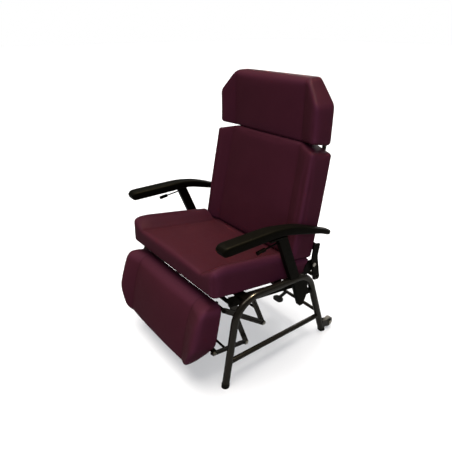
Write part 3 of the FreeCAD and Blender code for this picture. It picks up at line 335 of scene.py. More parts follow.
def vinyl_material(name):
    """Dark upholstery vinyl: fine pressed grain, soft sheen, paler along its ridges for wear and a painted
    highlight, with painted shade in its seams.
    """
    colours = settings("colours")
    material, tree, skin = shader(name)
    cloud = blend_colour(tree, noise(tree, 9, 3), scaled(colours.vinyl, 0.88), scaled(colours.vinyl, 1.12))
    # Paler ridges: wear together with a painted highlight.
    wear = add_node(tree, "Attribute", attribute_name="ridge")
    worn = mix_colours(tree, wear.outputs["Fac"], cloud, colours.vinyl_worn_and_highlit)
    # Painted shade: the vinyl is darkened along each sewn line, where shade lies in the crease.
    seam = add_node(tree, "Attribute", attribute_name="seam")
    shade = span(tree, seam.outputs["Fac"], 0, 0.22)
    tone = mix_colours(tree, shade, worn, scaled(colours.vinyl, 0.35))
    tree.links.new(tone, skin.inputs["Base Color"])
    uneven_gloss(tree, skin, noise(tree, 35, 4), 0.40, 0.54)
    grain = bump(tree, cells(tree, 760.0), 0.22, 0.3 * MM)
    tree.links.new(bump(tree, noise(tree, 120, 3), 0.12, 0.6 * MM, grain), skin.inputs["Normal"])
    mirroring(skin, 0.022)
    return material


def paint_material(name):
    """Black-brown powder coat with its fine orange-peel skin and a few paler scuffs."""
    material, tree, skin = shader(name)
    clouded(tree, skin, noise(tree, 28, 5, 0.65), settings("colours").paint, 0.75, 1.5)
    uneven_gloss(tree, skin, noise(tree, 70, 4), 0.16, 0.28)
    tree.links.new(bump(tree, noise(tree, 900, 2), 0.10, 0.2 * MM), skin.inputs["Normal"])
    mirroring(skin, 0.50, (1.0, 0.93, 0.78))
    return material


def plate_material(name):
    """Matt black coat of the flat plates, with faint cloudy wear."""
    material, tree, skin = shader(name)
    clouded(tree, skin, noise(tree, 24, 5, 0.6), settings("colours").plate, 0.7, 1.4)
    uneven_gloss(tree, skin, noise(tree, 65, 4), 0.42, 0.58)
    tree.links.new(bump(tree, noise(tree, 800, 2), 0.12, 0.2 * MM), skin.inputs["Normal"])
    mirroring(skin, 0.06, (1.0, 0.92, 0.70))
    return material


def moulding_material(name):
    """Self-skinned arm rest foam: leather-like grain and a soft brown-black sheen."""
    material, tree, skin = shader(name)
    clouded(tree, skin, noise(tree, 22, 4, 0.6), settings("colours").moulding, 0.7, 1.55)
    uneven_gloss(tree, skin, noise(tree, 60, 3), 0.36, 0.52)
    tree.links.new(bump(tree, cells(tree, 520.0), 0.25, 0.4 * MM), skin.inputs["Normal"])
    mirroring(skin, 0.040, (1.0, 0.90, 0.62))
    return material


def metal_material(name, base, gloss, scratches):
    """Bare metal with fine scratches; gloss is its least and greatest roughness."""
    material, tree, skin = shader(name)
    clouded(tree, skin, noise(tree, 90, 4, 0.6), base, 0.8, 1.08)
    uneven_gloss(tree, skin, noise(tree, 240, 3), *gloss)
    lines = stretched_noise(tree, scratches, 2.0)
    tree.links.new(bump(tree, lines, 0.08, 0.1 * MM), skin.inputs["Normal"])
    skin.inputs["Metallic"].default_value = 1.0
    return material


def zinc_material(name):
    """Bright zinc plating, scratched alike in every direction."""
    return metal_material(name, settings("colours").zinc, (0.22, 0.42), (900, 900, 900))


def rod_material(name):
    """Polished rods with fine level lines."""
    return metal_material(name, settings("colours").chrome, (0.08, 0.2), (60, 60, 1500))


def rubber_material(name):
    """Moulded rubber with a dusty bloom."""
    material, tree, skin = shader(name)
    clouded(tree, skin, noise(tree, 45, 5, 0.6), settings("colours").rubber, 0.75, 1.45)
    uneven_gloss(tree, skin, noise(tree, 80, 3), 0.55, 0.75)
    tree.links.new(bump(tree, noise(tree, 700, 3), 0.15, 0.3 * MM), skin.inputs["Normal"])
    mirroring(skin, 0.12)
    return material


def panel_material(name):
    """Painted board: long wood fibres under a thin dark coat."""
    material, tree, skin = shader(name)
    fibre = stretched_noise(tree, (8, 140, 140), 4.0)
    clouded(tree, skin, fibre, settings("colours").panel, 0.7, 1.5)
    uneven_gloss(tree, skin, fibre, 0.55, 0.75)
    tree.links.new(bump(tree, fibre, 0.2, 0.4 * MM), skin.inputs["Normal"])
    return material


def wheel_material(node):
    """A grey tyre with fine tread rings round a black moulded hub."""
    colours = settings("colours")
    material, tree, skin = shader(node + "_tyre_and_hub")
    low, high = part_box(node)
    to_axle = (0, -(low.y + high.y) / 2, -(low.z + high.z) / 2)
    centred = add_node(tree, "Mapping", Scale=(0, 1, 1), Location=to_axle)
    tree.links.new(place(tree), centred.inputs["Vector"])
    reach = add_node(tree, "VectorMath", operation="LENGTH")
    tree.links.new(centred.outputs["Vector"], reach.inputs[0])
    tyre = add_node(tree, "MapRange")
    tyre.inputs["From Min"].default_value = TYRE_BORE - TYRE_EDGE
    tyre.inputs["From Max"].default_value = TYRE_BORE
    tree.links.new(reach.outputs["Value"], tyre.inputs["Value"])
    worn = blend_colour(tree, noise(tree, 60, 5, 0.6), scaled(colours.tyre, 0.7), scaled(colours.tyre, 1.45))
    tone = mix_colours(tree, tyre.outputs["Result"], scaled(colours.rubber, 1.2), worn)
    tree.links.new(tone, skin.inputs["Base Color"])
    uneven_gloss(tree, skin, tyre.outputs["Result"], 0.35, 0.58)
    rings = add_node(tree, "TexWave", wave_type="BANDS", bands_direction="X", Scale=55.0, Distortion=0.3)
    tree.links.new(place(tree), rings.inputs["Vector"])
    tread = bump(tree, rings.outputs["Fac"], 0.3, 0.6 * MM)
    tree.links.new(bump(tree, noise(tree, 700, 3), 0.15, 0.3 * MM, tread), skin.inputs["Normal"])
    mirroring(skin, 0.35)
    return material


FINISHES = {
    "burgundy_vinyl": vinyl_material,
    "black_powder_coat": paint_material,
    "matt_black_coat": plate_material,
    "arm_moulding": moulding_material,
    "bright_zinc": zinc_material,
    "polished_rod": rod_material,
    "black_rubber": rubber_material,
    "painted_board": panel_material,
}


def finish(name):
    """A finish that is made once and shared by its pieces."""
    return bpy.data.materials.get(name) or FINISHES[name](name)


def coat(node, material):
    """Gives a CAD node its finish."""
    slots = NODES[node].data.materials
    slots.clear()
    slots.append(material)


# Upholstered pads

class Margins(NamedTuple):
    """Sizes at a pad's sides, low end, top end, front and rear, in metres."""
    side: float
    low: float
    top: float
    front: float
    rear: float = 0.0


class PadShape(NamedTuple):
    """A pad's form, in metres. A table holds pairs of a place along the pad, from its low end, and a size."""
    node: str  # the solid that the pad stands for
    board: str  # the board behind it
    body: str  # what it moves with
    fill: float  # from slack, 0, to tight, 1
    ends: str  # how its ends are cut: square, upright, bevelled or undercut
    half_width: tuple  # a table
    roll_foot: tuple  # a table: how far the feet of the side rolls lie from the middle
    dish: float  # how deep the middle lies between the rolls
    side_round: float  # rounding of the side edges
    end_round: tuple  # rounding of the low edge and of the top edge
    corner: float  # rounding of the four corners, seen from the front
    grown: Margins  # how much fuller than its solid the pad is
    bulge: Margins  # the furthest that its cover swells
    cut: tuple = ((0, 1),)  # a table: the half width that a cut corner leaves
    shoulder: tuple = ((0, 0),)  # a table across the pad, from its middle: how far the top end drops
    crease: float = 0.005  # softness of the fold at a roll's foot
    bow: tuple = (0.0, 0.0)  # how far the face, and its rolls besides, come forward at the low end
    fade: tuple = (0.02, 0.0)  # the length over which the rolls fall away at the low end, and how far
    level: tuple = ()  # where the rolls start and stop to level out near the top end, and the depth there


def even(size):
    """A table of one size all along."""
    return ((0, size),)


PADS = {
    "seat": PadShape(
        node="seat_cushion", board="seat_board", body="base", fill=0.85, ends="upright",
        half_width=even(0.311), roll_foot=even(0.235), dish=0.034,
        side_round=0.020, end_round=(0.012, 0.010), corner=0.022,
        grown=Margins(side=0.006, low=0.008, top=0.012, front=0.002),
        bulge=Margins(side=0.003, low=0.003, top=0.001, front=0.004),
        crease=0.012, bow=(0.0, 0.017), fade=(0.085, 0.030), level=(0.416, 0.429, 0.040)),
    "back": PadShape(
        node="back_cushion", board="back_board", body="back", fill=0.85, ends="square",
        half_width=((0, 0.313), (0.20, 0.313), (0.457, 0.306)),
        roll_foot=((0, 0.232), (0.457, 0.216)), dish=0.027,
        side_round=0.012, end_round=(0.012, 0.012), corner=0.016,
        grown=Margins(side=0.001, low=0.003, top=0.001, front=0.013),
        bulge=Margins(side=0.002, low=0.003, top=0.001, front=0.004),
        shoulder=((0, 0), (0.205, 0), (0.292, 0.026))),
    "head": PadShape(
        node="headrest_cushion", board="headrest_board", body="headrest", fill=0.9, ends="undercut",
        half_width=even(0.286), roll_foot=even(0.212), dish=0.027,
        side_round=0.012, end_round=(0.010, 0.026), corner=0.018,
        grown=Margins(side=0.014, low=0.001, top=0.005, front=0.004, rear=0.003),
        bulge=Margins(side=0.003, low=0.001, top=0.003, front=0.004),
        cut=((0, 0.286), (0.146, 0.286), (0.236, 0.214))),
    "foot": PadShape(
        node="footrest_cushion", board="footrest_board", body="footrest", fill=0.9, ends="bevelled",
        half_width=even(0.291), roll_foot=even(0.214), dish=0.025,
        side_round=0.014, end_round=(0.018, 0.036), corner=0.030,
        grown=Margins(side=0.018, low=0.004, top=0.005, front=0.0),
        bulge=Margins(side=0.003, low=0.003, top=0.002, front=0.004),
        cut=((0, 0.240), (0.106, 0.291)), bow=(0.029, 0.004), fade=(0.090, 0.008)),
}
ARC_STEPS = 4  # mesh lines in a rounded edge
LAYER_STEP = 1.2  # mesh step through the pad, in mesh steps of its face
AVERAGED = (-1, -0.5, 0, 0.5, 1)  # places of an average that softens a corner
REAR_ROUND = 8 * MM
EDGE_BLEND = 8 * MM  # reach of the change from the sides' rounding to the ends'
CUT_SOFT = 10 * MM
SHOULDER_SOFT = 12 * MM
SHOULDER_FROM = 0.7  # share of the height above which the shoulders drop
CROWN = 7 * MM  # rise of the middle between the rolls
RIDGE_ROUND = 8 * MM
RIDGE_EXTRA = 3 * MM  # how far inside the side edge's rounding a ridge lies
BOW_POWER = 4  # how late the bow ends towards the top
BEVEL_SLOPE = -0.04
UNDERCUT_SLOPE = 0.18
LOW_LIFT = 26 * MM  # rise of a bevelled pad's low edge at its rear
LOW_RUN = 120 * MM
SEWN_FROM = 0.5  # share of a seam's depth from which the cover counts as sewn down
SEWN_HOLD = 0.9
SEAM_END = 30 * MM  # length over which a seam dies out where the rolls level out
RIDGE_MARK_HEIGHT = 0.9 * MM  # how proud of its neighbours a point stands where its wear and painted highlight are full
RIDGE_MARK_PASSES = 3


def along(table, at, soft=0.0):
    """A size read between the places of a table, rounded at its corners by averaging."""
    places, sizes = zip(*table)
    return float(np.mean(np.interp([at + soft * t for t in AVERAGED], places, sizes)))


def arc_drop(inside, radius):
    """How far a rounded edge lies below its face, at a distance inside the outline."""
    left = max(0.0, radius - inside)
    return radius - math.sqrt(max(0.0, radius ** 2 - left ** 2))


def edge_lines(full, first_round, last_round, step, breaks=()):
    """Mesh lines along one side of a pad: close together in its rounded edges, even between the breaks."""
    turn = [1 - math.cos(math.pi / 2 * k / ARC_STEPS) for k in range(ARC_STEPS + 1)]
    stops = [first_round, *breaks, full - last_round]
    lines = [first_round * t for t in turn[:-1]]
    for first, second in zip(stops, stops[1:]):
        count = max(1, round((second - first) / step))
        lines += [first + (second - first) * k / count for k in range(count)]
    return lines + [full - last_round * t for t in reversed(turn)]


def roll_depth(shape, x, h, v):
    """How far the front lies behind the ridges: a crowned middle between two raised side rolls."""
    foot = along(shape.roll_foot, h)
    ridge = along(shape.half_width, h) + shape.grown.side - shape.side_round - RIDGE_EXTRA

    def sharp(a):
        if a <= foot:
            return shape.dish - CROWN * (1 - (a / foot) ** 2)
        return shape.dish * max(0.0, 1 - (a - foot) / (ridge - foot))

    rise = clamp((abs(x) - foot) / (ridge - foot))
    soft = shape.crease + (RIDGE_ROUND - shape.crease) * rise
    depth = float(np.mean([sharp(abs(abs(x) + soft * t)) for t in AVERAGED]))
    roll = eased(rise)
    face_bow, roll_bow = shape.bow
    depth -= (face_bow + roll_bow * roll) * (1 - v ** BOW_POWER)
    run, drop = shape.fade
    depth += arc_drop(max(0.0, h) / run, 1.0) * drop * roll
    if shape.level:
        start, stop, lowered = shape.level
        t = eased((h - start) / (stop - start))
        depth = depth * (1 - t) + lowered * t
    return depth


class PadFrame:
    """A pad's own directions, from the flat face of its board, and the box that it fills in them."""

    def __init__(self, shape):
        widest = max(NODES[shape.board].data.polygons, key=lambda face: face.area)
        normal = widest.normal.normalized()
        self.inward = -normal if normal.dot(Vector((0, -1, 1))) > 0 else normal
        self.across = Vector((1, 0, 0))
        self.along = self.across.cross(self.inward).normalized()
        if self.along.dot(Vector((0, 1, 1))) < 0:
            self.along = -self.along
        self.axes = np.array([self.across, self.along, self.inward])
        solid = np.array([v.co for v in NODES[shape.node].data.vertices]) @ self.axes.T
        grown = shape.grown
        self.start = np.array((0.0, solid[:, 1].min() - grown.low, solid[:, 2].min() - grown.front))
        self.height = solid[:, 1].max() + grown.top - self.start[1]
        self.depth = solid[:, 2].max() + grown.rear - self.start[2]

    def to_chair(self, local):
        """Places in the chair of places in the pad."""
        return (local + self.start) @ self.axes


class PadSkin:
    """A pad's closed skin: a box of mesh lines whose points lie on the pad's form."""

    def __init__(self, shape, space, step):
        self.shape = shape
        self.deep = space.depth
        self.lean = abs(space.along.z / space.along.y) if shape.ends == "upright" else 0.0
        self.tall = space.height - self.deep * self.lean
        self.wide = max(size for _, size in shape.half_width) + shape.grown.side
        foot, side = shape.roll_foot[0][1], shape.side_round
        breaks = (self.wide - foot, self.wide + foot)
        self.columns = [c - self.wide for c in edge_lines(2 * self.wide, side, side, step, breaks)]
        self.rows = edge_lines(self.tall, *shape.end_round, step)
        self.layers = round(self.deep / (LAYER_STEP * step))

    def edge_round(self, h, from_side, from_end):
        """The rounding of the front edge: the ends' passes into the sides' across a corner."""
        low, top = self.shape.end_round
        end = low if h < self.tall / 2 else top
        near = EDGE_BLEND ** 2
        share_side = (from_end ** 2 + near) / (from_side ** 2 + from_end ** 2 + 2 * near)
        return end + (self.shape.side_round - end) * share_side

    def in_corner(self, x, h, from_side, from_end):
        """A point of the outline, drawn in where the pad's corner is rounded."""
        corner = self.shape.corner
        over_x, over_h = max(0.0, corner - from_side), max(0.0, corner - from_end)
        if over_x and over_h:
            shrink = max(over_x, over_h) / math.hypot(over_x, over_h)
            x = math.copysign(self.wide - corner + over_x * shrink, x)
            over_h *= shrink
            h = corner - over_h if h < self.tall / 2 else self.tall - corner + over_h
        return x, h

    def cut_end(self, h, depth, through):
        """The height of a point once the pad's ends are cut; through is how far through the pad it lies."""
        if self.shape.ends == "upright":
            h += depth * self.lean
        elif self.shape.ends == "bevelled":
            h *= 1 + BEVEL_SLOPE * depth / self.tall
            h += LOW_LIFT * through * through * max(0.0, 1 - h / LOW_RUN)
        elif self.shape.ends == "undercut":
            h -= UNDERCUT_SLOPE * depth * max(0.0, 1 - h / self.tall) ** 2
        return h

    def place_point(self, column, row, layer):
        """Where a mesh point lies in the pad: across it, along it and behind its ridges."""
        shape, through = self.shape, layer / self.layers
        x, h = self.columns[column], self.rows[row]
        from_side, from_end = self.wide - abs(x), min(h, self.tall - h)
        inside = min(from_side, from_end)
        radius = self.edge_round(h, from_side, from_end)
        x, h = self.in_corner(x, h, from_side, from_end)
        half = min(along(shape.half_width, h), along(shape.cut, h, CUT_SOFT))
        x *= half / (self.wide - shape.grown.side)
        face = roll_depth(shape, x, h, h / self.tall)
        if layer == 0:
            depth = face + arc_drop(inside, radius)
        elif layer == self.layers:
            depth = self.deep - arc_drop(inside, REAR_ROUND)
        else:
            depth = (face + radius) * (1 - through) + (self.deep - REAR_ROUND) * through
        dropped = max(0.0, (h / self.tall - SHOULDER_FROM) / (1 - SHOULDER_FROM))
        h -= along(shape.shoulder, abs(x), SHOULDER_SOFT) * dropped
        return x, self.cut_end(h, depth, through), depth

    def build(self):
        """The skin's points and faces, with the column, row and layer of each point."""
        last = (len(self.columns) - 1, len(self.rows) - 1, self.layers)
        index, faces = {}, []
        for axis in range(3):
            first, second = [a for a in range(3) if a != axis]
            for end, p, q in itertools.product((0, last[axis]), range(last[first]), range(last[second])):
                quad = []
                for dp, dq in ((0, 0), (1, 0), (1, 1), (0, 1)):
                    key = [end] * 3
                    key[first], key[second] = p + dp, q + dq
                    quad.append(index.setdefault(tuple(key), len(index)))
                faces.append(quad)
        points = [self.place_point(*key) for key in index]
        return np.array(points), faces, np.array(list(index))


def mesh_edges(mesh):
    """The first and the second point of every edge, as arrays."""
    edges = np.zeros(len(mesh.edges) * 2, dtype=np.int64)
    mesh.edges.foreach_get("vertices", edges)
    return edges[0::2], edges[1::2]


def neighbour_mean(values, edges):
    """The mean of each point's neighbours."""
    a, b = edges
    total = np.zeros_like(values)
    count = np.zeros(len(values))
    np.add.at(total, a, values[b])
    np.add.at(total, b, values[a])
    np.add.at(count, a, 1)
    np.add.at(count, b, 1)
    return total / count[:, None] if values.ndim == 2 else total / count


def smoothed(values, edges, passes):
    """Values evened out over the mesh, at each pass half way to the neighbours' mean."""
    for _ in range(passes):
        values = 0.5 * values + 0.5 * neighbour_mean(values, edges)
    return values


def point_values(mesh, name):
    """The mesh's point places or point normals as an array."""
    flat = np.zeros(len(mesh.vertices) * 3)
    mesh.vertices.foreach_get(name, flat)
    return flat.reshape(-1, 3)


def set_points(mesh, points):
    """Moves the mesh's points."""
    mesh.vertices.foreach_set("co", points.astype(np.float32).ravel())
    mesh.update()


def swell(piece, held, pads):
    """How far each point of the cover moves when it swells over its foam; sewn and glued points stay."""
    scene = bpy.context.scene
    start = point_values(piece.data, "co")
    group = piece.vertex_groups.new(name="sewn")
    for index, weight in enumerate(held):
        if weight > 0:
            group.add([index], float(weight), "REPLACE")
    cloth = piece.modifiers.new("cover", "CLOTH")
    cloth.settings.quality = 5
    cloth.settings.mass = 0.3
    cloth.settings.tension_stiffness = 15
    cloth.settings.compression_stiffness = 15
    cloth.settings.shear_stiffness = 6
    cloth.settings.bending_stiffness = 1.0
    cloth.settings.use_pressure = True
    cloth.settings.uniform_pressure_force = pads.pressure
    cloth.settings.vertex_group_mass = "sewn"
    cloth.settings.effector_weights.gravity = 0
    cloth.collision_settings.use_collision = False
    cloth.point_cache.frame_start = 1
    cloth.point_cache.frame_end = pads.frames
    for step in range(1, pads.frames + 1):
        scene.frame_set(step)
    shown = piece.evaluated_get(bpy.context.evaluated_depsgraph_get())
    moved = point_values(shown.data, "co") - start
    piece.modifiers.remove(cloth)
    piece.vertex_groups.remove(group)
    scene.frame_set(1)
    far = np.linalg.norm(moved, axis=1, keepdims=True)
    return moved * np.minimum(1.0, pads.swell_limit / np.maximum(far, 1e-9))


def held_in(moved, outward, inward):
    """A movement that eases off towards its limits."""
    return np.where(moved > 0, outward * np.tanh(moved / outward), inward * np.tanh(moved / inward))


def cover_movement(piece, shape, space, local, held, pads):
    """The cover's swelling, evened out and held in across the pad, along it and through it."""
    moved = smoothed(swell(piece, held, pads), mesh_edges(piece.data), pads.taut) @ space.axes.T
    bulge, draw_in = shape.bulge, pads.draw_in
    side, low_half = np.sign(local[:, 0]), local[:, 1] < space.height / 2
    downward, upward = -held_in(-moved[:, 1], bulge.low, draw_in), held_in(moved[:, 1], bulge.top, draw_in)
    moved[:, 0] = side * held_in(side * moved[:, 0], bulge.side, draw_in)
    moved[:, 1] = np.where(low_half, downward, upward)
    moved[:, 2] = -held_in(-moved[:, 2], bulge.front, draw_in)
    return moved @ space.axes


def sewn_lines(shape, local, pads):
    """How deep each point lies in a sewn line, from none to all."""
    feet = np.array([along(shape.roll_foot, h) for h in local[:, 1]])
    groove = np.exp(-((np.abs(local[:, 0]) - feet) / pads.seam_width) ** 2)
    if shape.level:
        groove *= np.clip((shape.level[1] - local[:, 1]) / SEAM_END, 0, 1)
    return groove


def ridge_wear_and_painted_highlight(mesh, points):
    """How much wear and painted highlight each point takes, from how proud of its neighbours it stands."""
    edges = mesh_edges(mesh)
    proud = np.einsum("ij,ij->i", points - neighbour_mean(points, edges), point_values(mesh, "normal"))
    return np.clip(smoothed(proud, edges, RIDGE_MARK_PASSES) / RIDGE_MARK_HEIGHT, 0, 1)


def upholster(name):
    """One pad: its padded skin, swollen over the foam, with sewn lines at the feet of the side rolls."""
    pads, shape = settings("pads"), PADS[name]
    space = PadFrame(shape)
    skin = PadSkin(shape, space, pads.mesh_step)
    local, faces, keys = skin.build()
    piece = new_piece(name + "_pad", space.to_chair(local), faces)
    face_outwards(piece)
    front, rear = keys[:, 2] == 0, keys[:, 2] == skin.layers
    # The groove both pulls the seams in and marks where painted shade darkens them.
    groove = sewn_lines(shape, local, pads) * front
    points = point_values(piece.data, "co")
    held = np.where(rear, 1.0, SEWN_HOLD * (groove > SEWN_FROM))
    points = points + cover_movement(piece, shape, space, local, held, pads)
    set_points(piece.data, points)
    points -= point_values(piece.data, "normal") * (groove * pads.seam_depth)[:, None]
    set_points(piece.data, points)
    # The ridge mark paints the ridges paler, for wear and a painted highlight; the seam mark paints shade
    # into the seams.
    for label, values in (("seam", groove), ("ridge", ridge_wear_and_painted_highlight(piece.data, points) * ~rear)):
        attribute = piece.data.attributes.new(label, "FLOAT", "POINT")
        attribute.data.foreach_set("value", values.astype(np.float32))
    piece.data.materials.append(finish("burgundy_vinyl"))
    add_subdivision(piece)
    bpy.data.collections[COOL_SIDE].objects.link(piece)
    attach(piece, shape.body)
    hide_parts(shape.node)


class RESTCHAIR_OT_seat_pad(bpy.types.Operator):
    """Upholsters the seat: dished middle between two side rolls"""
    bl_idname = "rest_chair.seat_pad"
    bl_label = "Seat pad"

    def execute(self, context):
        upholster("seat")
        return {"FINISHED"}


class RESTCHAIR_OT_back_pad(bpy.types.Operator):
    """Upholsters the back: crowned middle between two side rolls"""
    bl_idname = "rest_chair.back_pad"
    bl_label = "Back pad"

    def execute(self, context):
        upholster("back")
        return {"FINISHED"}


class RESTCHAIR_OT_head_pad(bpy.types.Operator):
    """Upholsters the head rest with its cut top corners"""
    bl_idname = "rest_chair.head_pad"
    bl_label = "Head pad"

    def execute(self, context):
        upholster("head")
        return {"FINISHED"}


class RESTCHAIR_OT_foot_pad(bpy.types.Operator):
    """Upholsters the footrest with its cut lower corners"""
    bl_idname = "rest_chair.foot_pad"
    bl_label = "Footrest pad"

    def execute(self, context):
        upholster("foot")
        return {"FINISHED"}


# Arm rests

ARM_STATIONS = 56
ARM_CLOSER = 0.55  # how much closer together the sections stand towards the ends, from none to all
ARM_GAP = 0.6 * MM  # from the solid's ends to the first and last section
ARM_ROUND = 11 * MM
ROUND_LIMIT = 0.85  # largest rounding, as a share of a section's half width or half height
ROUND_STEPS = 5
NOSE_LENGTH = 30 * MM
NOSE_WIDTH = 0.72
NOSE_DROP = 8 * MM
TAIL_LENGTH = 60 * MM
TAIL_WIDTH = 0.70
TAIL_DROP = 9 * MM
REAR_NARROW = 12 * MM  # what the inner side leaves free for the back pad
NARROW_FROM = 0.35  # shares of the arm's length: where the narrowing starts, and how far it runs
NARROW_RUN = 0.2
ABOVE = 1.0  # height over and under the arm from which its outline is measured


def section_ring(centre_x, y, low, high, width):
    """A rounded oblong across the arm."""
    half_w, half_h, mid = width / 2, (high - low) / 2, (low + high) / 2
    corner = min(ARM_ROUND, ROUND_LIMIT * half_w, ROUND_LIMIT * half_h)
    ring = []
    for sx, sz, start in ((1, 1, 0), (-1, 1, 90), (-1, -1, 180), (1, -1, 270)):
        for k in range(ROUND_STEPS + 1):
            t = math.radians(start + 90 * k / ROUND_STEPS)
            ring.append(Vector((centre_x + sx * (half_w - corner) + corner * math.cos(t), y,
                                mid + sz * (half_h - corner) + corner * math.sin(t))))
    return ring


def rounded_end(t, least):
    """The share of its full width that an arm has near an end, which widens like a quarter circle."""
    return least + (1 - least) * math.sqrt(1 - (1 - t) ** 2)


def arm_rest(name, side):
    """A moulded arm pad that follows its solid's side outline, with rounded edges, nose and tail."""
    node = "arm_pad_" + name
    low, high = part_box(node)
    solid = BVHTree.FromObject(NODES[node], bpy.context.evaluated_depsgraph_get())
    centre_x, full_width, full_length = (low.x + high.x) / 2, high.x - low.x, high.y - low.y
    rings = []
    for k in range(ARM_STATIONS + 1):
        evenly = k / ARM_STATIONS
        t = ARM_CLOSER * (0.5 - 0.5 * math.cos(math.pi * evenly)) + (1 - ARM_CLOSER) * evenly
        y = low.y + ARM_GAP + (full_length - 2 * ARM_GAP) * t
        top = solid.ray_cast(Vector((centre_x, y, high.z + ABOVE)), Vector((0, 0, -1)))[0].z
        under = solid.ray_cast(Vector((centre_x, y, low.z - ABOVE)), Vector((0, 0, 1)))[0].z
        nose = min(1.0, (y - low.y) / NOSE_LENGTH)
        tail = min(1.0, (high.y - y) / TAIL_LENGTH)
        width = full_width * rounded_end(nose, NOSE_WIDTH) * rounded_end(tail, TAIL_WIDTH)
        narrow = REAR_NARROW * eased(((y - low.y) / full_length - NARROW_FROM) / NARROW_RUN)
        rings.append(section_ring(centre_x + side * narrow / 2, y, under - TAIL_DROP * (1 - tail),
                                  top - NOSE_DROP * (1 - nose) ** 2, width - narrow))
    piece = rings_mesh("arm_rest_" + name, rings)
    piece.data.materials.append(finish("arm_moulding"))
    add_subdivision(piece)
    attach(piece, "base")
    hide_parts(node)


class RESTCHAIR_OT_arm_rests(bpy.types.Operator):
    """Moulds the two arm rests over their solids"""
    bl_idname = "rest_chair.arm_rests"
    bl_label = "Arm rests"

    def execute(self, context):
        for name, side in SIDES.items():
            arm_rest(name, side)
        return {"FINISHED"}


# Steel frame, fasteners, boards, feet and wheels

def both_sides(*parts):
    """The nodes of parts that the chair has on its left and on its right."""
    return [f"{part}_{side}" for part in parts for side in SIDES]


PAINTED = both_sides("side_frame", "stretcher") + [
    "rear_crossbar", "wheel_forks", "seat_cross_bars", "back_tubes", "back_lever_tube", "crank_links",
    "crank_tube", "lift_links", "footrest_pivot_bar", "guide_links", "guide_tie", "push_links", "push_tie",
    "back_spring_cylinder", "footrest_spring_cylinder", "headrest_posts",
]
PLATES = both_sides("arm_upright", "arm_gusset", "seat_bar", "release_lever") + [
    "arm_plates", "seat_stays", "spring_straps", "back_arms", "back_yoke", "headrest_brackets",
    "footrest_ears", "seat_pivot_bolts", "lever_bolts",
]
PLATED = ["wheel_axles", "back_hinge_bolts", "crank_bolts", "lift_pins", "guide_pins", "push_pins"]
POLISHED = ["back_spring_rod", "footrest_spring_rod"]
BOARDS = ["seat_board", "back_board", "headrest_board", "footrest_board"]
RUBBERS = ["foot_caps", "tread_pedal"]
ROUNDED = [
    (2.0 * MM, both_sides("arm_upright") + RUBBERS),
    (1.6 * MM, both_sides("arm_gusset")),
    (1.5 * MM, BOARDS),
    (1.0 * MM, both_sides("seat_bar") + ["back_arms"]),
    (0.8 * MM, ["wheel_forks", "arm_plates", "seat_stays", "crank_links", "lift_links", "guide_links",
                "push_links", "footrest_ears", "spring_straps"]),
    (0.7 * MM, ["seat_pivot_bolts", "lever_bolts"] + PLATED),
]
EDGE_WIDTHS = {node: width for width, nodes in ROUNDED for node in nodes}


def finish_nodes(nodes, name):
    """Gives CAD nodes one finish, and rounds the edges of those that have an edge width."""
    for node in nodes:
        coat(node, finish(name))
        if node in EDGE_WIDTHS:
            soften(node, EDGE_WIDTHS[node])


class RESTCHAIR_OT_steel_frame(bpy.types.Operator):
    """Powder coats the tubes, plates and links and rounds their edges"""
    bl_idname = "rest_chair.steel_frame"
    bl_label = "Steel frame"

    def execute(self, context):
        finish_nodes(PAINTED, "black_powder_coat")
        finish_nodes(PLATES, "matt_black_coat")
        return {"FINISHED"}


class RESTCHAIR_OT_fasteners(bpy.types.Operator):
    """Plates the bolts and pins and polishes the sliding rods"""
    bl_idname = "rest_chair.fasteners"
    bl_label = "Bolts, pins and rods"

    def execute(self, context):
        finish_nodes(PLATED, "bright_zinc")
        finish_nodes(POLISHED, "polished_rod")
        return {"FINISHED"}


class RESTCHAIR_OT_boards(bpy.types.Operator):
    """Paints the boards behind the pads"""
    bl_idname = "rest_chair.boards"
    bl_label = "Boards"

    def execute(self, context):
        finish_nodes(BOARDS, "painted_board")
        return {"FINISHED"}


class RESTCHAIR_OT_feet_and_wheels(bpy.types.Operator):
    """Finishes the rubber feet, the pedal and the small wheels"""
    bl_idname = "rest_chair.feet_and_wheels"
    bl_label = "Feet and wheels"

    def execute(self, context):
        finish_nodes(RUBBERS, "black_rubber")
        for node in both_sides("wheel"):
            coat(node, wheel_material(node))
        return {"FINISHED"}


# Floor, lights and camera

CAMERA_PLACE = (1.367, -1.0576, 1.330)
CAMERA_TURN = (64.62, 0.0, 52.04)
CAMERA_SENSOR = 36.0
CAMERA_REACH = 200.0
FLOOR_SIZE = 60.0
LOOK_AT = (0.0, 0.0, 0.55)
KEY_LIGHT = {"place_at": (-0.5, -0.1, 3.4), "tint": (1.0, 0.955, 0.90), "angle": math.radians(60)}
FILL_LIGHT = {"place_at": (2.5, -1.7, 1.9), "tint": (0.58, 0.52, 1.0),
              "shape": "RECTANGLE", "size": 1.2, "size_y": 2.4}
STREAK_LIGHT = {"place_at": (0.9, 0.6, 3.2), "tint": (1.0, 0.86, 0.62),
                "shape": "RECTANGLE", "size": 0.5, "size_y": 0.5}
REAR_LIGHT = {"place_at": (-1.6, 2.8, 1.8), "tint": (1.0, 0.97, 0.94),
              "shape": "RECTANGLE", "size": 1.5, "size_y": 2.0}
FLOOR_WASH = {"place_at": (0.0, 0.0, 4.0), "tint": (1, 1, 1), "use_shadow": False}


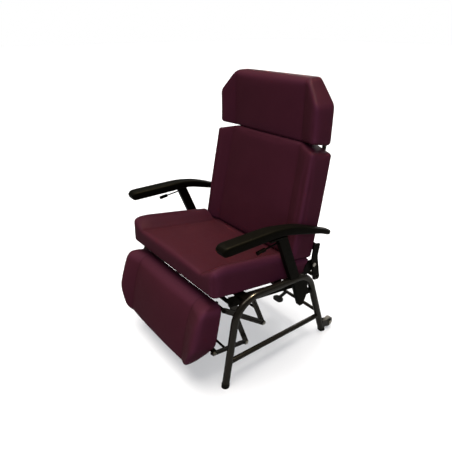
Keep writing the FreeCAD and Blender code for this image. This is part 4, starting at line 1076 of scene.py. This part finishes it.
def lay_floor(stage):
    """A pale floor that the camera sees brighter than the chair does."""
    half = FLOOR_SIZE / 2
    floor = new_piece("floor", [(-half, -half, 0), (half, -half, 0), (half, half, 0), (-half, half, 0)],
                      [(0, 1, 2, 3)], smooth=False)
    material, tree, skin = shader("studio_floor")
    tone = blend_colour(tree, noise(tree, 3, 2), scaled(stage.floor, 0.99), stage.floor)
    seen = add_node(tree, "LightPath").outputs["Is Camera Ray"]
    shown = mix_colours(tree, seen, scaled(stage.floor, stage.bounce), tone)
    tree.links.new(shown, skin.inputs["Base Color"])
    skin.inputs["Roughness"].default_value = 0.9
    mirroring(skin, 0.1)
    floor.data.materials.append(material)
    return floor


def white_surround(stage):
    """A world that the camera sees white and that lights the chair faintly."""
    world = bpy.data.worlds.new("studio")
    world.use_nodes = True
    tree = world.node_tree
    background = tree.nodes["Background"]
    background.inputs["Color"].default_value = (1, 1, 1, 1)
    seen = add_node(tree, "LightPath").outputs["Is Camera Ray"]
    tree.links.new(span(tree, seen, stage.surround, 1.0), background.inputs["Strength"])
    return world


def add_light(name, kind, energy, place_at, tint, **shape):
    """A soft light that faces the chair."""
    data = bpy.data.lights.new(name, kind)
    data.energy = energy
    data.color = tint
    for key, value in shape.items():
        setattr(data, key, value)
    light = bpy.data.objects.new(name, data)
    light.location = place_at
    light.rotation_euler = (Vector(LOOK_AT) - Vector(place_at)).to_track_quat("-Z", "Y").to_euler()
    bpy.context.scene.collection.objects.link(light)
    return light


def shine_on(light, collection, *pieces):
    """Lets a light reach only the pieces of a new collection."""
    light.light_linking.receiver_collection = bpy.data.collections.new(collection)
    for piece in pieces:
        light.light_linking.receiver_collection.objects.link(piece)


def add_camera(stage):
    """The camera at the photograph's viewing angle."""
    lens = bpy.data.cameras.new("photo_camera")
    lens.lens = stage.lens
    lens.sensor_width = CAMERA_SENSOR
    lens.clip_end = CAMERA_REACH
    camera = bpy.data.objects.new("photo_camera", lens)
    camera.location = CAMERA_PLACE
    camera.rotation_euler = tuple(math.radians(t) for t in CAMERA_TURN)
    bpy.context.scene.collection.objects.link(camera)
    return camera


class RESTCHAIR_OT_stage(bpy.types.Operator):
    """Sets the pale floor, the studio lights and the camera"""
    bl_idname = "rest_chair.stage"
    bl_label = "Stage"

    def execute(self, context):
        stage = settings("stage")
        floor = lay_floor(stage)
        context.scene.world = white_surround(stage)
        add_light("key", "SUN", stage.key, **KEY_LIGHT)
        fill = add_light("fill", "AREA", stage.fill, **FILL_LIGHT)
        shine_on(fill, COOL_SIDE)
        streak = add_light("streak", "AREA", stage.streak, **STREAK_LIGHT)
        streak.visible_diffuse = False
        add_light("rear", "AREA", stage.rear, **REAR_LIGHT)
        wash = add_light("floor_wash", "SUN", stage.wash, **FLOOR_WASH)
        shine_on(wash, "floor_only", floor)
        context.scene.camera = add_camera(stage)
        context.scene.view_settings.view_transform = "Standard"
        return {"FINISHED"}


class RESTCHAIR_PT_finish(bpy.types.Panel):
    """Lists the chair's settings and the steps that build it"""
    bl_idname = "RESTCHAIR_PT_finish"
    bl_label = "Rest chair"
    bl_space_type = "VIEW_3D"
    bl_region_type = "UI"
    bl_category = "Rest chair"

    def draw(self, context):
        for group in GROUPS:
            box = self.layout.box()
            for name in settings(group).bl_rna.properties.keys():
                if name not in ("rna_type", "name"):
                    box.prop(settings(group), name)
        for operator in OPERATORS:
            self.layout.operator(operator.bl_idname)


GROUPS = {"pads": RestChairPads, "colours": RestChairColours, "stage": RestChairStage}
OPERATORS = (RESTCHAIR_OT_stage, RESTCHAIR_OT_seat_pad, RESTCHAIR_OT_back_pad, RESTCHAIR_OT_head_pad,
             RESTCHAIR_OT_foot_pad, RESTCHAIR_OT_arm_rests, RESTCHAIR_OT_steel_frame, RESTCHAIR_OT_fasteners,
             RESTCHAIR_OT_boards, RESTCHAIR_OT_feet_and_wheels)


def register():
    """Adds the settings, the operators and the panel."""
    for name, group in GROUPS.items():
        bpy.utils.register_class(group)
        setattr(bpy.types.Scene, "rest_chair_" + name, PointerProperty(type=group))
    for item in (*OPERATORS, RESTCHAIR_PT_finish):
        bpy.utils.register_class(item)


def unregister():
    """Takes them away again."""
    for item in (RESTCHAIR_PT_finish, *reversed(OPERATORS)):
        bpy.utils.unregister_class(item)
    for name, group in GROUPS.items():
        delattr(bpy.types.Scene, "rest_chair_" + name)
        bpy.utils.unregister_class(group)


def main():
    """Builds the chair's looks step by step."""
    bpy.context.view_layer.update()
    register()
    steps = bpy.ops.rest_chair
    for step in (steps.stage, steps.seat_pad, steps.back_pad, steps.head_pad, steps.foot_pad, steps.arm_rests,
                 steps.steel_frame, steps.fasteners, steps.boards, steps.feet_and_wheels):
        step()


if __name__ == "__main__":
    main()
